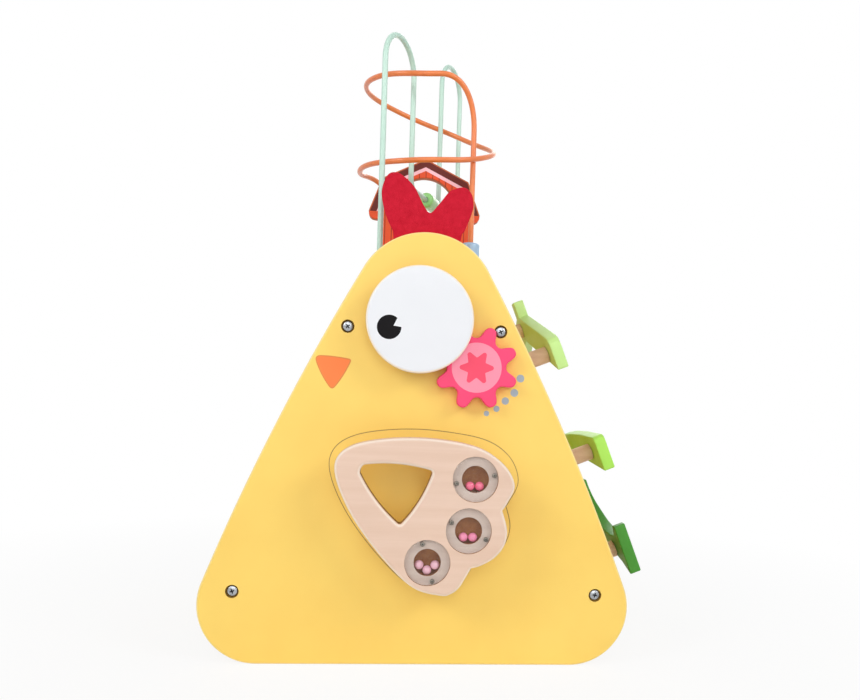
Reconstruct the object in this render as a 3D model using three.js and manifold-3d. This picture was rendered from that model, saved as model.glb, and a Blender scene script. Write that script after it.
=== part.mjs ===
// A wooden activity box for toddlers, in the form of a hen: two rounded triangular panels joined by
// sloping side boards, with a goggle eye that drives a gear wheel, a swinging rattle wing, a fir tree of
// three boards on dowels at one side, and a bead maze with a barn on top.
//
// Millimetres. X runs to the right and Y to the back, as seen from the front, and Z is up. The origin is
// the middle of the front panel's lower edge, where the box stands on the floor.

import * as THREE from 'three';
import { mergeVertices } from 'three/addons/utils/BufferGeometryUtils.js';
import Module from 'manifold-3d';

const wasm = await Module();
wasm.setup();

// Gap between pieces that touch, how far a cut runs past a face, and the gap round a turning shaft
const fit = 0.3;
const overrun = 1;
const runningGap = 0.3;

// Panels: a triangle with round corners and slightly bowed sides
const boxDepth = 260;
const panelWidth = 360;
const panelHeight = 361;
const panelThickness = 12;
const panelRounding = 2.4;
const apexRadius = 59.5;
const cornerRadius = 49;
const bowRadius = 2020;

// Pan-head screws that hold the panels to the side boards
const screwHeadRadius = 4;
const screwHeadHeight = 2.4;
const screwShankRadius = 2;
const screwLength = 30;
const counterboreRadius = 5.3;
const counterboreDepth = 3;
const lowScrewX = 151.3;
const lowScrewZ = 60.1;
const highScrewX = 63.5;
const highScrewDrop = 80.5;

// Boards between the panels
const sideThickness = 10;
const baseThickness = 10;
const baseUnderside = 20;
const platformThickness = 12;
const platformDrop = 41;
const platformHalfWidth = 52;
const baseOverhang = 2.7;

// Eye, and the two gear wheels: one hidden behind the eye, one beside it
const eyeX = -4.6;
const eyeDrop = 74;
const eyeRadius = 43.6;
const eyeThickness = 9.5;
const eyeRounding = 2.2;
const gearModule = 7.58;
const eyeGearTeeth = 8;
const sideGearTeeth = 8;
const toothHeight = 10.4;
const toothDrop = 0.57;
const toothSquareShare = 1.4;
const toothThinShare = 0.1;
const gearThickness = 9;
const gearRounding = 1;
const gearStandOff = 1.5;
const meshDirection = THREE.MathUtils.degToRad(-38);
const sideGearPhase = THREE.MathUtils.degToRad(24.6);
const shaftRadius = 6;
const shaftSocketDepth = 6;
const keeperRadius = 13;
const keeperThickness = 6;

// Wing: a thick rattle board on a dowel, with a hand hole and three round windows
const wingLeft = -69;
const wingLow = 66.5;
const wingWidth = 144;
const wingHeight = 125.7;
const wingThickness = 15;
const wingRounding = 2.6;
const wingStandOff = 18;
const wingPivotX = 8.6;
const wingPivotZ = 139;
const hubRadius = 11;
const handHoleLeft = -48.6;
const handHoleLow = 122.3;
const handHoleWidth = 57.6;
const handHoleHeight = 49.5;
const windowPlaceShares = { top: [0.778, 0.7455], middle: [0.7485, 0.4175], bottom: [0.525, 0.2125] };
const windowRadius = 18;
const windowThickness = 2.4;
const chamberRadius = 10.8;
const chamberDepth = 8.4;
const windowScrewOffset = 15.3;
const windowScrewHeadRadius = 1.9;
const windowScrewHeadHeight = 1;
const windowScrewShankRadius = 1;
const windowScrewLength = 7;
const rattleBeadRadius = 3.6;

// Comb of felt, fixed to the back of the front panel
const combThickness = 3;
const combLeft = -39.4;
const combWidth = 77.7;
const combRise = 51.2;
const combFootGap = 1.7;

// Bent steel wires of the bead maze, placed from the middle of the box, with heights above the platform
const wireRadius = 2.5;
const wireSocketDepth = 8;
const wireSides = 8;
const legSteps = 2;
const bendSteps = 7;
const halfTurnSteps = 16;
const ringSteps = 66;
const mintLegs = [[-40.3, -95], [-14.7, -45], [15.3, 42], [38, 92]];
const nearHumpRise = 225;
const farHumpRise = 255.5;
const dipRise = 98;
const dipBendRadius = 10;
const ringX = 2;
const ringY = -9.3;
const ringNearRadius = 60.8;
const ringFarRadius = 66.9;
const ringHighRise = 202.1;
const ringLowRise = 115.7;
const ringStart = THREE.MathUtils.degToRad(-48.7);
const ringTurn = THREE.MathUtils.degToRad(556);
const nearBend = { turn: THREE.MathUtils.degToRad(34.4), rise: 49.9 };
const farBend = { turn: THREE.MathUtils.degToRad(44), rise: 52 };

// Height of the ring at even steps of its turn, as shares of the way from its lowest to its highest
const ringHeightShares = [
  0.979, 0.913, 0.957, 1, 0.973, 0.806, 0.528, 0.272, 0.06, 0, 0.024, 0.068, 0.212,
];

// Wooden beads on the wires
const beadGap = 0.4;
const beadRounding = 3;
const stackBeads = [
  { name: 'bead_pink', radius: 8.8, length: 16, colour: 0xf07ba0 },
  { name: 'bead_yellow', radius: 8.8, length: 15, colour: 0xf3cf52 },
  { name: 'bead_blue', radius: 8.6, length: 15, colour: 0xa9cbe8 },
];
const dipBeadRadius = 7.5;
const dipBeadLength = 28;
const dipBeadShare = 0.66;

// Barn: one upright board with a gambrel roof outline and an arched door, its heights above the platform
const barnThickness = 9;
const barnGroove = 3;
const barnHeight = 137.1;
const barnBreakX = 42.6;
const barnBreakHeight = 116.5;
const barnEaveX = 54.8;
const barnEaveHeight = 84;
const barnEaveDrop = 8.2;
const barnWallX = 45;
const doorRadius = 33;
const doorHeight = 116.3;
const doorSill = 14;

// Fir tree: boards held off the right side board by dowels
const tierThickness = 10;
const tierRounding = 0.8;
const innerTierStandOff = 34.5;
const outerTierStandOff = 45;
const tierEnd = 108;
const treeTopDrop = 1.9;
const dowelRadius = 6.9;
const dowelSocket = 5;

// Colours
const yellow = 0xfbd768;
const beech = 0xe6cbb0;
const white = 0xf6f6f6;
const hotPink = 0xff5282;
const red = 0xcb1e35;
const barnRed = 0xe9522f;
const mint = 0xc3ded0;
const orange = 0xec925d;
const steel = 0xb9bcc0;
const clear = 0xe8ecef;
const lightGreen = 0xbfe27e;
const limeGreen = 0xaee65f;
const darkGreen = 0x4a9537;

// Places that follow from the sizes above
const frontFace = -panelThickness / 2;
const backPanelY = boxDepth - panelThickness;
const midY = backPanelY / 2;
const roomFront = panelThickness / 2 + fit;
const roomBack = backPanelY - panelThickness / 2 - fit;
const platformTop = panelHeight - platformDrop;
const dipLow = platformTop + dipRise;
const highScrewZ = panelHeight - highScrewDrop;
const eyeZ = panelHeight - eyeDrop;
const lean = Math.atan2(lowScrewX - highScrewX, highScrewZ - lowScrewZ);
const gearFace = frontFace - gearStandOff - gearThickness;
const eyeGearPitch = gearModule * eyeGearTeeth / 2;
const sideGearPitch = gearModule * sideGearTeeth / 2;
const sideGearX = eyeX + (eyeGearPitch + sideGearPitch) * Math.cos(meshDirection);
const sideGearZ = eyeZ + (eyeGearPitch + sideGearPitch) * Math.sin(meshDirection);
const wingBack = frontFace - wingStandOff;
const windows = [
  { name: 'top', screwAngle: 13, beads: 2, colour: 0xff4f86 },
  { name: 'middle', screwAngle: 155, beads: 2, colour: 0xf17fa9 },
  { name: 'bottom', screwAngle: 106, beads: 3, colour: 0xf3b9cf },
].map((pane) => {
  const [x, z] = windowPlaceShares[pane.name];
  return { ...pane, x: wingLeft + x * wingWidth, z: wingLow + z * wingHeight };
});

const part = new THREE.Group();

// Turns a closed geometry into a solid that can be cut and joined
function solid(geometry) {
  const bare = geometry.clone();
  bare.deleteAttribute('normal');
  bare.deleteAttribute('uv');
  const merged = mergeVertices(bare, 1e-4);
  return new wasm.Manifold(new wasm.Mesh({
    numProp: 3,
    vertProperties: new Float32Array(merged.attributes.position.array),
    triVerts: new Uint32Array(merged.index.array),
  }));
}

// Turns a solid back into a geometry
function geometryOf(body) {
  const mesh = body.getMesh();
  const geometry = new THREE.BufferGeometry();
  geometry.setAttribute('position', new THREE.BufferAttribute(mesh.vertProperties, 3));
  geometry.setIndex(new THREE.BufferAttribute(mesh.triVerts, 1));
  geometry.computeVertexNormals();
  return geometry;
}

// Cuts a list of geometries out of a geometry
function cut(geometry, tools) {
  let body = solid(geometry);
  for (const tool of tools) body = body.subtract(solid(tool));
  return geometryOf(body);
}

// Adds one named piece to the part
function addPiece(name, geometry, colour, roughness = 0.5, metalness = 0) {
  const material = new THREE.MeshStandardMaterial({ color: colour, roughness, metalness });
  const mesh = new THREE.Mesh(geometry, material);
  mesh.name = name;
  part.add(mesh);
  return mesh;
}

// The points of an outline, anticlockwise, without a last point that repeats the first
function openPoints(path, curveSegments) {
  const points = path.getPoints(curveSegments);
  if (points[0].distanceTo(points[points.length - 1]) < fit / 10) points.pop();
  if (THREE.ShapeUtils.isClockWise(points)) points.reverse();
  return points;
}

// A plate cut from an X-Z outline, from y = front to y = back, with rounded arrises
function plate(outline, front, back, rounding = 0, curveSegments = 6, bevelSegments = 2) {
  const shape = new THREE.Shape(openPoints(outline, curveSegments));
  shape.holes = outline.holes.map((hole) => new THREE.Path(openPoints(hole, curveSegments)));
  const geometry = new THREE.ExtrudeGeometry(shape, {
    depth: back - front - 2 * rounding,
    bevelEnabled: rounding > 0,
    bevelThickness: rounding,
    bevelSize: rounding,
    bevelOffset: -rounding,
    bevelSegments,
  });
  geometry.translate(0, 0, rounding);
  geometry.rotateX(Math.PI / 2);
  geometry.translate(0, back, 0);
  return geometry;
}

// A rod along Y from y = front to y = back
function rodY(radius, x, z, front, back, sides = 24) {
  const geometry = new THREE.CylinderGeometry(radius, radius, back - front, sides);
  geometry.translate(x, (front + back) / 2, 0);
  geometry.translate(0, 0, z);
  return geometry;
}

// A rod along Z from z = low to z = high
function rodZ(radius, x, y, low, high, sides = 16) {
  const geometry = new THREE.CylinderGeometry(radius, radius, high - low, sides);
  geometry.rotateX(Math.PI / 2);
  geometry.translate(x, y, (low + high) / 2);
  return geometry;
}

// A disc along Y with its front arris rounded
function roundedDisc(radius, x, z, front, back, rounding, sides = 48) {
  const corner = [0, 1, 2, 3].map((step) => {
    const turn = step / 3 * Math.PI / 2;
    return new THREE.Vector2(
      radius - rounding + rounding * Math.sin(turn),
      back - front - rounding + rounding * Math.cos(turn),
    );
  });
  const profile = [
    new THREE.Vector2(0, back - front),
    ...corner,
    new THREE.Vector2(radius, 0),
    new THREE.Vector2(0, 0),
  ];
  const geometry = new THREE.LatheGeometry(profile.reverse(), sides);
  geometry.rotateX(Math.PI);
  geometry.translate(x, back, z);
  return geometry;
}

// Half the panel's outline is an apex arc, a bowed side and a corner arc, each tangent to the next
function panelShape() {
  const apex = new THREE.Vector2(0, panelHeight - apexRadius);
  const corner = new THREE.Vector2(panelWidth / 2 - cornerRadius, cornerRadius);
  const toApex = bowRadius - apexRadius;
  const toCorner = bowRadius - cornerRadius;
  const between = corner.clone().sub(apex);
  const span = between.length();
  const along = (toApex ** 2 - toCorner ** 2 + span ** 2) / (2 * span);
  const aside = Math.sqrt(toApex ** 2 - along ** 2);
  const unit = between.clone().normalize();
  const centre = apex.clone().addScaledVector(unit, along)
    .add(new THREE.Vector2(unit.y, -unit.x).multiplyScalar(aside));
  const cornerTurn = Math.atan2(corner.y - centre.y, corner.x - centre.x);
  const apexTurn = Math.atan2(apex.y - centre.y, apex.x - centre.x);
  const shape = new THREE.Shape();
  shape.moveTo(-corner.x, 0);
  shape.lineTo(corner.x, 0);
  shape.absarc(corner.x, corner.y, cornerRadius, -Math.PI / 2, cornerTurn, false);
  shape.absarc(centre.x, centre.y, bowRadius, cornerTurn, apexTurn, false);
  shape.absarc(apex.x, apex.y, apexRadius, apexTurn, Math.PI - apexTurn, false);
  shape.absarc(-centre.x, centre.y, bowRadius, Math.PI - apexTurn, Math.PI - cornerTurn, false);
  shape.absarc(-corner.x, corner.y, cornerRadius, Math.PI - cornerTurn, Math.PI * 3 / 2, false);
  return shape;
}

// The four screw places of a panel, seen from the front
const screwPlaces = [
  { name: 'lower_left', x: -lowScrewX, z: lowScrewZ },
  { name: 'lower_right', x: lowScrewX, z: lowScrewZ },
  { name: 'upper_left', x: -highScrewX, z: highScrewZ },
  { name: 'upper_right', x: highScrewX, z: highScrewZ },
];

// Counterbored holes for the four screws, from the outer face at y = face, going in towards `inward`
function screwHoles(face, inward) {
  const tools = [];
  for (const { x, z } of screwPlaces) {
    const floor = face + inward * counterboreDepth;
    const past = face - inward * overrun;
    const through = face + inward * (panelThickness + overrun);
    tools.push(rodY(counterboreRadius, x, z, Math.min(past, floor), Math.max(past, floor), 24));
    tools.push(rodY(screwShankRadius + fit, x, z, Math.min(floor, through), Math.max(floor, through), 12));
  }
  return tools;
}

function addPanels() {
  const front = plate(panelShape(), frontFace, -frontFace, panelRounding);
  const shaftHole = (x, z) =>
    rodY(shaftRadius + runningGap, x, z, frontFace - overrun, -frontFace + overrun);
  const shaftHoles = [
    shaftHole(eyeX, eyeZ),
    shaftHole(sideGearX, sideGearZ),
    shaftHole(wingPivotX, wingPivotZ),
  ];
  addPiece('front_panel', cut(front, [...screwHoles(frontFace, 1), ...shaftHoles]), yellow, 0.45);
  const backOuter = backPanelY + panelThickness / 2;
  const back = plate(panelShape(), backOuter - panelThickness, backOuter, panelRounding);
  addPiece('back_panel', cut(back, screwHoles(backOuter, -1)), yellow, 0.45);
}

// A pan-head screw seated on the counterbore's floor, its shank going in towards `inward`
function addPanelScrews(side, face, inward) {
  const dome = [0, 1, 2, 3].map((step) => {
    const turn = step / 3 * Math.PI / 2;
    return new THREE.Vector2(screwHeadRadius * Math.sin(turn), screwHeadHeight * Math.cos(turn));
  });
  const profile = [
    ...dome,
    new THREE.Vector2(screwShankRadius, 0),
    new THREE.Vector2(screwShankRadius, -screwLength + 2 * screwShankRadius),
    new THREE.Vector2(0, -screwLength),
  ];
  for (const place of screwPlaces) {
    const geometry = new THREE.LatheGeometry(profile.slice().reverse(), 12);
    geometry.rotateX(inward > 0 ? Math.PI : 0);
    geometry.translate(place.x, face + inward * (counterboreDepth - fit), place.z);
    addPiece(`${side}_screw_${place.name}`, geometry, steel, 0.3, 1);
  }
}

// The middle plane of a side board, which passes through its panel's two screws
function boardX(z) {
  return lowScrewX - (z - lowScrewZ) * Math.tan(lean);
}

// A side board is a parallelogram bar between the panels, cut level at both ends
function sideBoard(hand) {
  const low = baseUnderside + baseThickness + fit;
  const high = platformTop - platformThickness - fit;
  const half = sideThickness / 2 / Math.cos(lean);
  const shape = new THREE.Shape();
  shape.moveTo(hand * (boardX(low) - half), low);
  shape.lineTo(hand * (boardX(low) + half), low);
  shape.lineTo(hand * (boardX(high) + half), high);
  shape.lineTo(hand * (boardX(high) - half), high);
  shape.closePath();
  const reach = screwLength - (panelThickness - counterboreDepth) + overrun;
  const pilots = [];
  for (const { x, z } of screwPlaces) {
    if (Math.sign(x) !== hand) continue;
    pilots.push(rodY(screwShankRadius + fit, x, z, roomFront - overrun, roomFront + reach, 12));
    pilots.push(rodY(screwShankRadius + fit, x, z, roomBack - reach, roomBack + overrun, 12));
  }
  return cut(plate(shape, roomFront, roomBack), pilots);
}

// Frame of the right side board: `out` is away from the board, `up` is up its slope
const boardOut = new THREE.Vector2(Math.cos(lean), Math.sin(lean));
const boardUp = new THREE.Vector2(-Math.sin(lean), Math.cos(lean));
const boardOuter = lowScrewX * boardOut.x + lowScrewZ * boardOut.y + sideThickness / 2;

// The tree ends just short of the board's top, measured up its slope
const boardTop = platformTop - platformThickness - fit;
const treeHeight = (boardTop - boardOuter * boardOut.y) / boardUp.y - treeTopDrop;

// Places a geometry drawn with X as depth from the middle, Y up the slope and Z away from the board
function ontoBoard(geometry) {
  const matrix = new THREE.Matrix4().makeBasis(
    new THREE.Vector3(0, 1, 0),
    new THREE.Vector3(boardUp.x, 0, boardUp.y),
    new THREE.Vector3(boardOut.x, 0, boardOut.y),
  );
  geometry.applyMatrix4(matrix);
  geometry.translate(boardOuter * boardOut.x, midY, boardOuter * boardOut.y);
  return geometry;
}

// Tiers of the tree, as shares of the depth from its middle to an end and of its height up the slope:
// the near half's outline and the far half's, both from the bottom up, and the dowels' places
const topTierShares = [
  [0, 0.848], [1, 0.72], [1, 0.798], [0.992, 0.814], [0.968, 0.827], [0.933, 0.835],
  [0.067, 0.939], [0.067, 1],
];
const bottomTierShares = [
  [0, 0.053], [0.6, 0.046], [0.84, 0.025], [1, 0], [1, 0.167], [0.93, 0.167], [0.86, 0.122],
  [0.7, 0.112], [0.533, 0.116], [0.398, 0.129], [0.317, 0.146], [0.234, 0.164], [0.129, 0.184],
  [0.055, 0.206], [0.055, 0.305],
];
const tiers = [
  {
    name: 'top', colour: lightGreen, standOff: innerTierStandOff,
    nearShares: topTierShares, farShares: topTierShares,
    dowelShares: [[0.78, 0.781], [0, 0.891], [-0.78, 0.781]],
  },
  {
    name: 'middle', colour: limeGreen, standOff: outerTierStandOff,
    nearShares: [
      [0, 0.37], [0.93, 0.345], [0.93, 0.446], [0.917, 0.459], [0.884, 0.465], [0.42, 0.463], [0, 0.455],
    ],
    farShares: [[0, 0.37], [0.93, 0.347], [0.93, 0.41], [0.6, 0.427], [0.35, 0.442], [0, 0.455]],
    dowelShares: [[0.66, 0.408], [-0.66, 0.385]],
  },
  {
    name: 'bottom', colour: darkGreen, standOff: innerTierStandOff,
    nearShares: bottomTierShares, farShares: bottomTierShares,
    dowelShares: [[0.72, 0.063], [-0.72, 0.063]],
  },
];

// A tier's outline, up its near half and down its far half, drawn with its near end at the left
function tierShape({ nearShares, farShares }) {
  const far = farShares.slice().reverse().map(([depth, height]) => [-depth, height]);
  const points = [...nearShares, ...far]
    .map(([depth, height]) => new THREE.Vector2(-depth * tierEnd, height * treeHeight))
    .filter((point, index, all) => index === 0 || point.distanceTo(all[index - 1]) > fit);
  if (points[0].distanceTo(points[points.length - 1]) < fit) points.pop();
  return new THREE.Shape(points);
}

function addTree(rightBoard) {
  const sockets = [];
  for (const tier of tiers) {
    const board = new THREE.ExtrudeGeometry(tierShape(tier), {
      depth: tierThickness - 2 * tierRounding,
      bevelThickness: tierRounding,
      bevelSize: tierRounding,
      bevelOffset: -tierRounding,
      bevelSegments: 1,
    });
    board.translate(0, 0, tier.standOff + tierRounding);
    addPiece(`tree_${tier.name}`, ontoBoard(board), tier.colour, 0.45);
    tier.dowelShares.forEach(([depth, height], index) => {
      const length = tier.standOff + dowelSocket - fit;
      const dowel = new THREE.CylinderGeometry(dowelRadius, dowelRadius, length - fit, 20);
      dowel.rotateX(Math.PI / 2);
      dowel.translate(-depth * tierEnd, height * treeHeight, tier.standOff - fit - (length - fit) / 2);
      addPiece(`tree_${tier.name}_dowel_${index + 1}`, ontoBoard(dowel), beech, 0.6);
      const bore = dowelRadius + fit;
      const socket = new THREE.CylinderGeometry(bore, bore, dowelSocket + overrun, 20);
      socket.rotateX(Math.PI / 2);
      socket.translate(-depth * tierEnd, height * treeHeight, (overrun - dowelSocket) / 2);
      sockets.push(ontoBoard(socket));
    });
  }
  return cut(rightBoard, sockets);
}

function addBoards() {
  addPiece('left_side_board', sideBoard(-1), yellow, 0.45);
  addPiece('right_side_board', addTree(sideBoard(1)), yellow, 0.45);
  const depth = roomBack - roomFront;
  const baseHalfWidth = boardX(baseUnderside + baseThickness) + baseOverhang;
  const base = new THREE.BoxGeometry(2 * baseHalfWidth, depth, baseThickness);
  base.translate(0, midY, baseUnderside + baseThickness / 2);
  addPiece('base_board', base, yellow, 0.45);
  const platform = new THREE.BoxGeometry(2 * platformHalfWidth, depth, platformThickness);
  platform.translate(0, midY, platformTop - platformThickness / 2);
  const holes = wireEnds().map(([x, y]) =>
    rodZ(wireRadius + fit, x, midY + y, platformTop - wireSocketDepth - fit, platformTop + overrun));
  const groove = new THREE.BoxGeometry(
    2 * (barnWallX + fit),
    barnThickness + 2 * fit,
    barnGroove + overrun,
  );
  groove.translate(0, midY, platformTop + (overrun - barnGroove) / 2);
  addPiece('platform', cut(platform, [...holes, groove]), yellow, 0.45);
}

// Rounded teeth: the radius swings about a middle circle just inside the pitch circle
function gearShape(teeth, pitch, phase) {
  const shape = new THREE.Shape();
  const highest = Math.tanh(toothSquareShare * (1 - toothThinShare));
  const lowest = Math.tanh(toothSquareShare * (-1 - toothThinShare));
  const steps = teeth * 12;
  for (let step = 0; step < steps; step += 1) {
    const turn = phase + step / steps * Math.PI * 2;
    const wave = Math.cos(teeth * (turn - phase)) - toothThinShare;
    const swing = (Math.tanh(toothSquareShare * wave) - lowest) / (highest - lowest);
    const radius = pitch - toothDrop + toothHeight * (swing - 1 / 2);
    if (step === 0) shape.moveTo(radius * Math.cos(turn), radius * Math.sin(turn));
    else shape.lineTo(radius * Math.cos(turn), radius * Math.sin(turn));
  }
  shape.closePath();
  return shape;
}

// A shaft, and the round keeper that holds it behind the front panel
function addShaft(name, x, z, front) {
  const keeperFront = -frontFace + fit;
  const keeperBack = keeperFront + keeperThickness;
  const shaftBack = keeperBack - keeperThickness / 3;
  addPiece(`${name}_shaft`, rodY(shaftRadius, x, z, front + fit, shaftBack - fit, 24), beech, 0.6);
  const keeper = roundedDisc(keeperRadius, x, z, -keeperBack, -keeperFront, gearRounding, 24);
  keeper.translate(-x, 0, -z);
  keeper.rotateZ(Math.PI);
  keeper.translate(x, 0, z);
  const socket = rodY(shaftRadius + fit, x, z, keeperFront - overrun, shaftBack);
  addPiece(`${name}_keeper`, cut(keeper, [socket]), beech, 0.6);
}

function addGears() {
  const backFace = frontFace - gearStandOff;
  // A tooth of one gear meets a gap of the other on the line between the two shafts
  const toEye = meshDirection + Math.PI;
  const arc = (sideGearPhase - toEye) * sideGearPitch + gearModule * Math.PI / 2;
  const eyeGearPhase = meshDirection - arc / eyeGearPitch;
  const gears = [
    { name: 'eye_gear', x: eyeX, z: eyeZ, teeth: eyeGearTeeth, pitch: eyeGearPitch, phase: eyeGearPhase },
    {
      name: 'side_gear', x: sideGearX, z: sideGearZ, teeth: sideGearTeeth, pitch: sideGearPitch,
      phase: sideGearPhase,
    },
  ];
  for (const { name, x, z, teeth, pitch, phase } of gears) {
    const wheel = plate(gearShape(teeth, pitch, phase), gearFace, backFace, gearRounding, 1, 1);
    wheel.translate(x, 0, z);
    const socket = rodY(shaftRadius + fit, x, z, backFace - shaftSocketDepth, backFace + overrun);
    addPiece(name, cut(wheel, [socket]), hotPink, 0.45);
    addShaft(name, x, z, backFace - shaftSocketDepth);
  }
  const eyeFront = gearFace - fit - eyeThickness;
  const eye = roundedDisc(eyeRadius, eyeX, eyeZ, eyeFront, gearFace - fit, eyeRounding);
  addPiece('eye_disc', eye, white, 0.3);
}

// Wing outline as shares of its width and height, from its lower left corner
const wingMainShares = [
  [0.769, 0.177], [0.734, 0.104], [0.706, 0.052], [0.663, 0.013], [0.604, 0], [0.449, 0.049],
  [0.284, 0.223], [0.118, 0.469], [0.017, 0.705], [0.01, 0.855], [0.106, 0.946], [0.303, 0.991],
  [0.544, 0.995], [0.788, 0.948], [0.938, 0.84], [0.999, 0.711], [0.962, 0.6], [0.934, 0.549],
];
const wingLobeShares = [
  [0.934, 0.549], [0.959, 0.457], [0.965, 0.389], [0.945, 0.312], [0.894, 0.242], [0.821, 0.194],
  [0.769, 0.177],
];

// Hand hole outline as shares of its width and height: outward curves joined by three round corners
const handHoleShares = {
  start: [0.075, 0.962],
  sides: [
    [[0.506, 1.032], [0.949, 0.897]],
    [[1, 0.881], [0.984, 0.822]],
    [[0.855, 0.375], [0.597, 0.042]],
    [[0.564, 0], [0.527, 0.037]],
    [[0.196, 0.377], [0, 0.822]],
    [[0.005, 0.95], [0.075, 0.962]],
  ],
};

function wingShape() {
  const place = ([x, z]) => new THREE.Vector2(wingLeft + x * wingWidth, wingLow + z * wingHeight);
  const main = wingMainShares.map(place);
  const shape = new THREE.Shape();
  shape.moveTo(main[0].x, main[0].y);
  shape.splineThru(main.slice(1));
  shape.splineThru(wingLobeShares.map(place).slice(1));
  return shape;
}

function handHoleShape() {
  const place = ([x, z]) => [handHoleLeft + x * handHoleWidth, handHoleLow + z * handHoleHeight];
  const shape = new THREE.Shape();
  shape.moveTo(...place(handHoleShares.start));
  for (const [control, end] of handHoleShares.sides) {
    shape.quadraticCurveTo(...place(control), ...place(end));
  }
  return shape;
}

function windowScrewPlaces({ x, z, screwAngle }) {
  return [0, 180].map((turn) => {
    const angle = THREE.MathUtils.degToRad(screwAngle + turn);
    return [x + windowScrewOffset * Math.cos(angle), z + windowScrewOffset * Math.sin(angle)];
  });
}

function addWing() {
  const face = wingBack - wingThickness;
  const shape = wingShape();
  shape.holes.push(handHoleShape());
  const board = plate(shape, face, wingBack, wingRounding, 3);
  const cuts = [
    rodY(shaftRadius + fit, wingPivotX, wingPivotZ, wingBack - shaftSocketDepth, wingBack + overrun),
  ];
  for (const pane of windows) {
    const seat = face + windowThickness + fit;
    cuts.push(rodY(windowRadius + fit, pane.x, pane.z, face - overrun, seat, 32));
    cuts.push(rodY(chamberRadius, pane.x, pane.z, seat - overrun, seat + chamberDepth));
    for (const [x, z] of windowScrewPlaces(pane)) {
      cuts.push(rodY(windowScrewShankRadius + fit, x, z, seat - overrun, seat + windowScrewLength, 8));
    }
  }
  addPiece('wing_board', cut(board, cuts), beech, 0.6);
  const hub = rodY(hubRadius, wingPivotX, wingPivotZ, wingBack + fit, frontFace - fit);
  const bore = rodY(
    shaftRadius + runningGap, wingPivotX, wingPivotZ, wingBack - overrun, frontFace + overrun);
  addPiece('wing_hub', cut(hub, [bore]), beech, 0.6);
  addShaft('wing', wingPivotX, wingPivotZ, wingBack - shaftSocketDepth);
  for (const pane of windows) addWindow(pane, face);
}

// A clear disc let into the wing, its two screws, and the rattle beads in the chamber behind it
function addWindow(pane, face) {
  const recess = windowScrewHeadHeight + fit;
  const disc = rodY(windowRadius, pane.x, pane.z, face, face + windowThickness, 32);
  const holes = [];
  windowScrewPlaces(pane).forEach(([x, z], index) => {
    holes.push(rodY(windowScrewHeadRadius + fit, x, z, face - overrun, face + recess, 12));
    holes.push(rodY(windowScrewShankRadius + fit, x, z, face, face + windowThickness + overrun, 8));
    const profile = [
      new THREE.Vector2(0, windowScrewHeadHeight),
      new THREE.Vector2(windowScrewHeadRadius * 3 / 4, windowScrewHeadHeight),
      new THREE.Vector2(windowScrewHeadRadius, windowScrewHeadHeight / 2),
      new THREE.Vector2(windowScrewHeadRadius, 0),
      new THREE.Vector2(windowScrewShankRadius, 0),
      new THREE.Vector2(windowScrewShankRadius, -windowScrewLength),
      new THREE.Vector2(0, -windowScrewLength),
    ];
    const screw = new THREE.LatheGeometry(profile.reverse(), 10);
    screw.rotateX(Math.PI);
    screw.translate(x, face + recess - fit, z);
    addPiece(`${pane.name}_window_screw_${index + 1}`, screw, steel, 0.3, 1);
  });
  addPiece(`${pane.name}_window`, cut(disc, holes), clear, 0.1);
  const orbit = chamberRadius - rattleBeadRadius - fit;
  const spacing = 2 * Math.asin((rattleBeadRadius + fit / 2) / orbit);
  const middle = face + windowThickness + fit + chamberDepth / 2;
  for (let index = 0; index < pane.beads; index += 1) {
    const turn = (index - (pane.beads - 1) / 2) * spacing;
    const bead = new THREE.SphereGeometry(rattleBeadRadius, 10, 7);
    bead.translate(pane.x + orbit * Math.sin(turn), middle, pane.z - orbit * Math.cos(turn));
    addPiece(`${pane.name}_rattle_bead_${index + 1}`, bead, pane.colour, 0.3);
  }
}

// Comb outline as shares of its width, from its left edge at the level of its top: two lobes
const combLobeShares = [
  [0.133, -0.636], [0.039, -0.431], [0, -0.208], [0.058, -0.036], [0.145, 0], [0.228, -0.035],
  [0.353, -0.149], [0.456, -0.338], [0.53, -0.42], [0.618, -0.329], [0.727, -0.187], [0.79, -0.151],
  [0.871, -0.127], [0.937, -0.147], [0.981, -0.206], [1, -0.295], [0.991, -0.385], [0.919, -0.583],
  [0.884, -0.633],
];
const combFootShares = { left: 0.2, right: 0.8 };

// The foot stands clear of the platform and of the keeper of the eye's shaft
function addComb() {
  const top = panelHeight + combRise;
  const foot = Math.max(platformTop, eyeZ + keeperRadius) + combFootGap;
  const across = (share) => combLeft + share * combWidth;
  const lobes = combLobeShares.map(([x, z]) => new THREE.Vector2(across(x), top + z * combWidth));
  const shape = new THREE.Shape();
  shape.moveTo(across(combFootShares.left), foot);
  shape.lineTo(lobes[0].x, lobes[0].y);
  shape.splineThru(lobes.slice(1));
  shape.lineTo(across(combFootShares.right), foot);
  shape.closePath();
  const front = -frontFace + fit;
  addPiece('comb', plate(shape, front, front + combThickness, 0, 3), red, 0.95);
}

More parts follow.
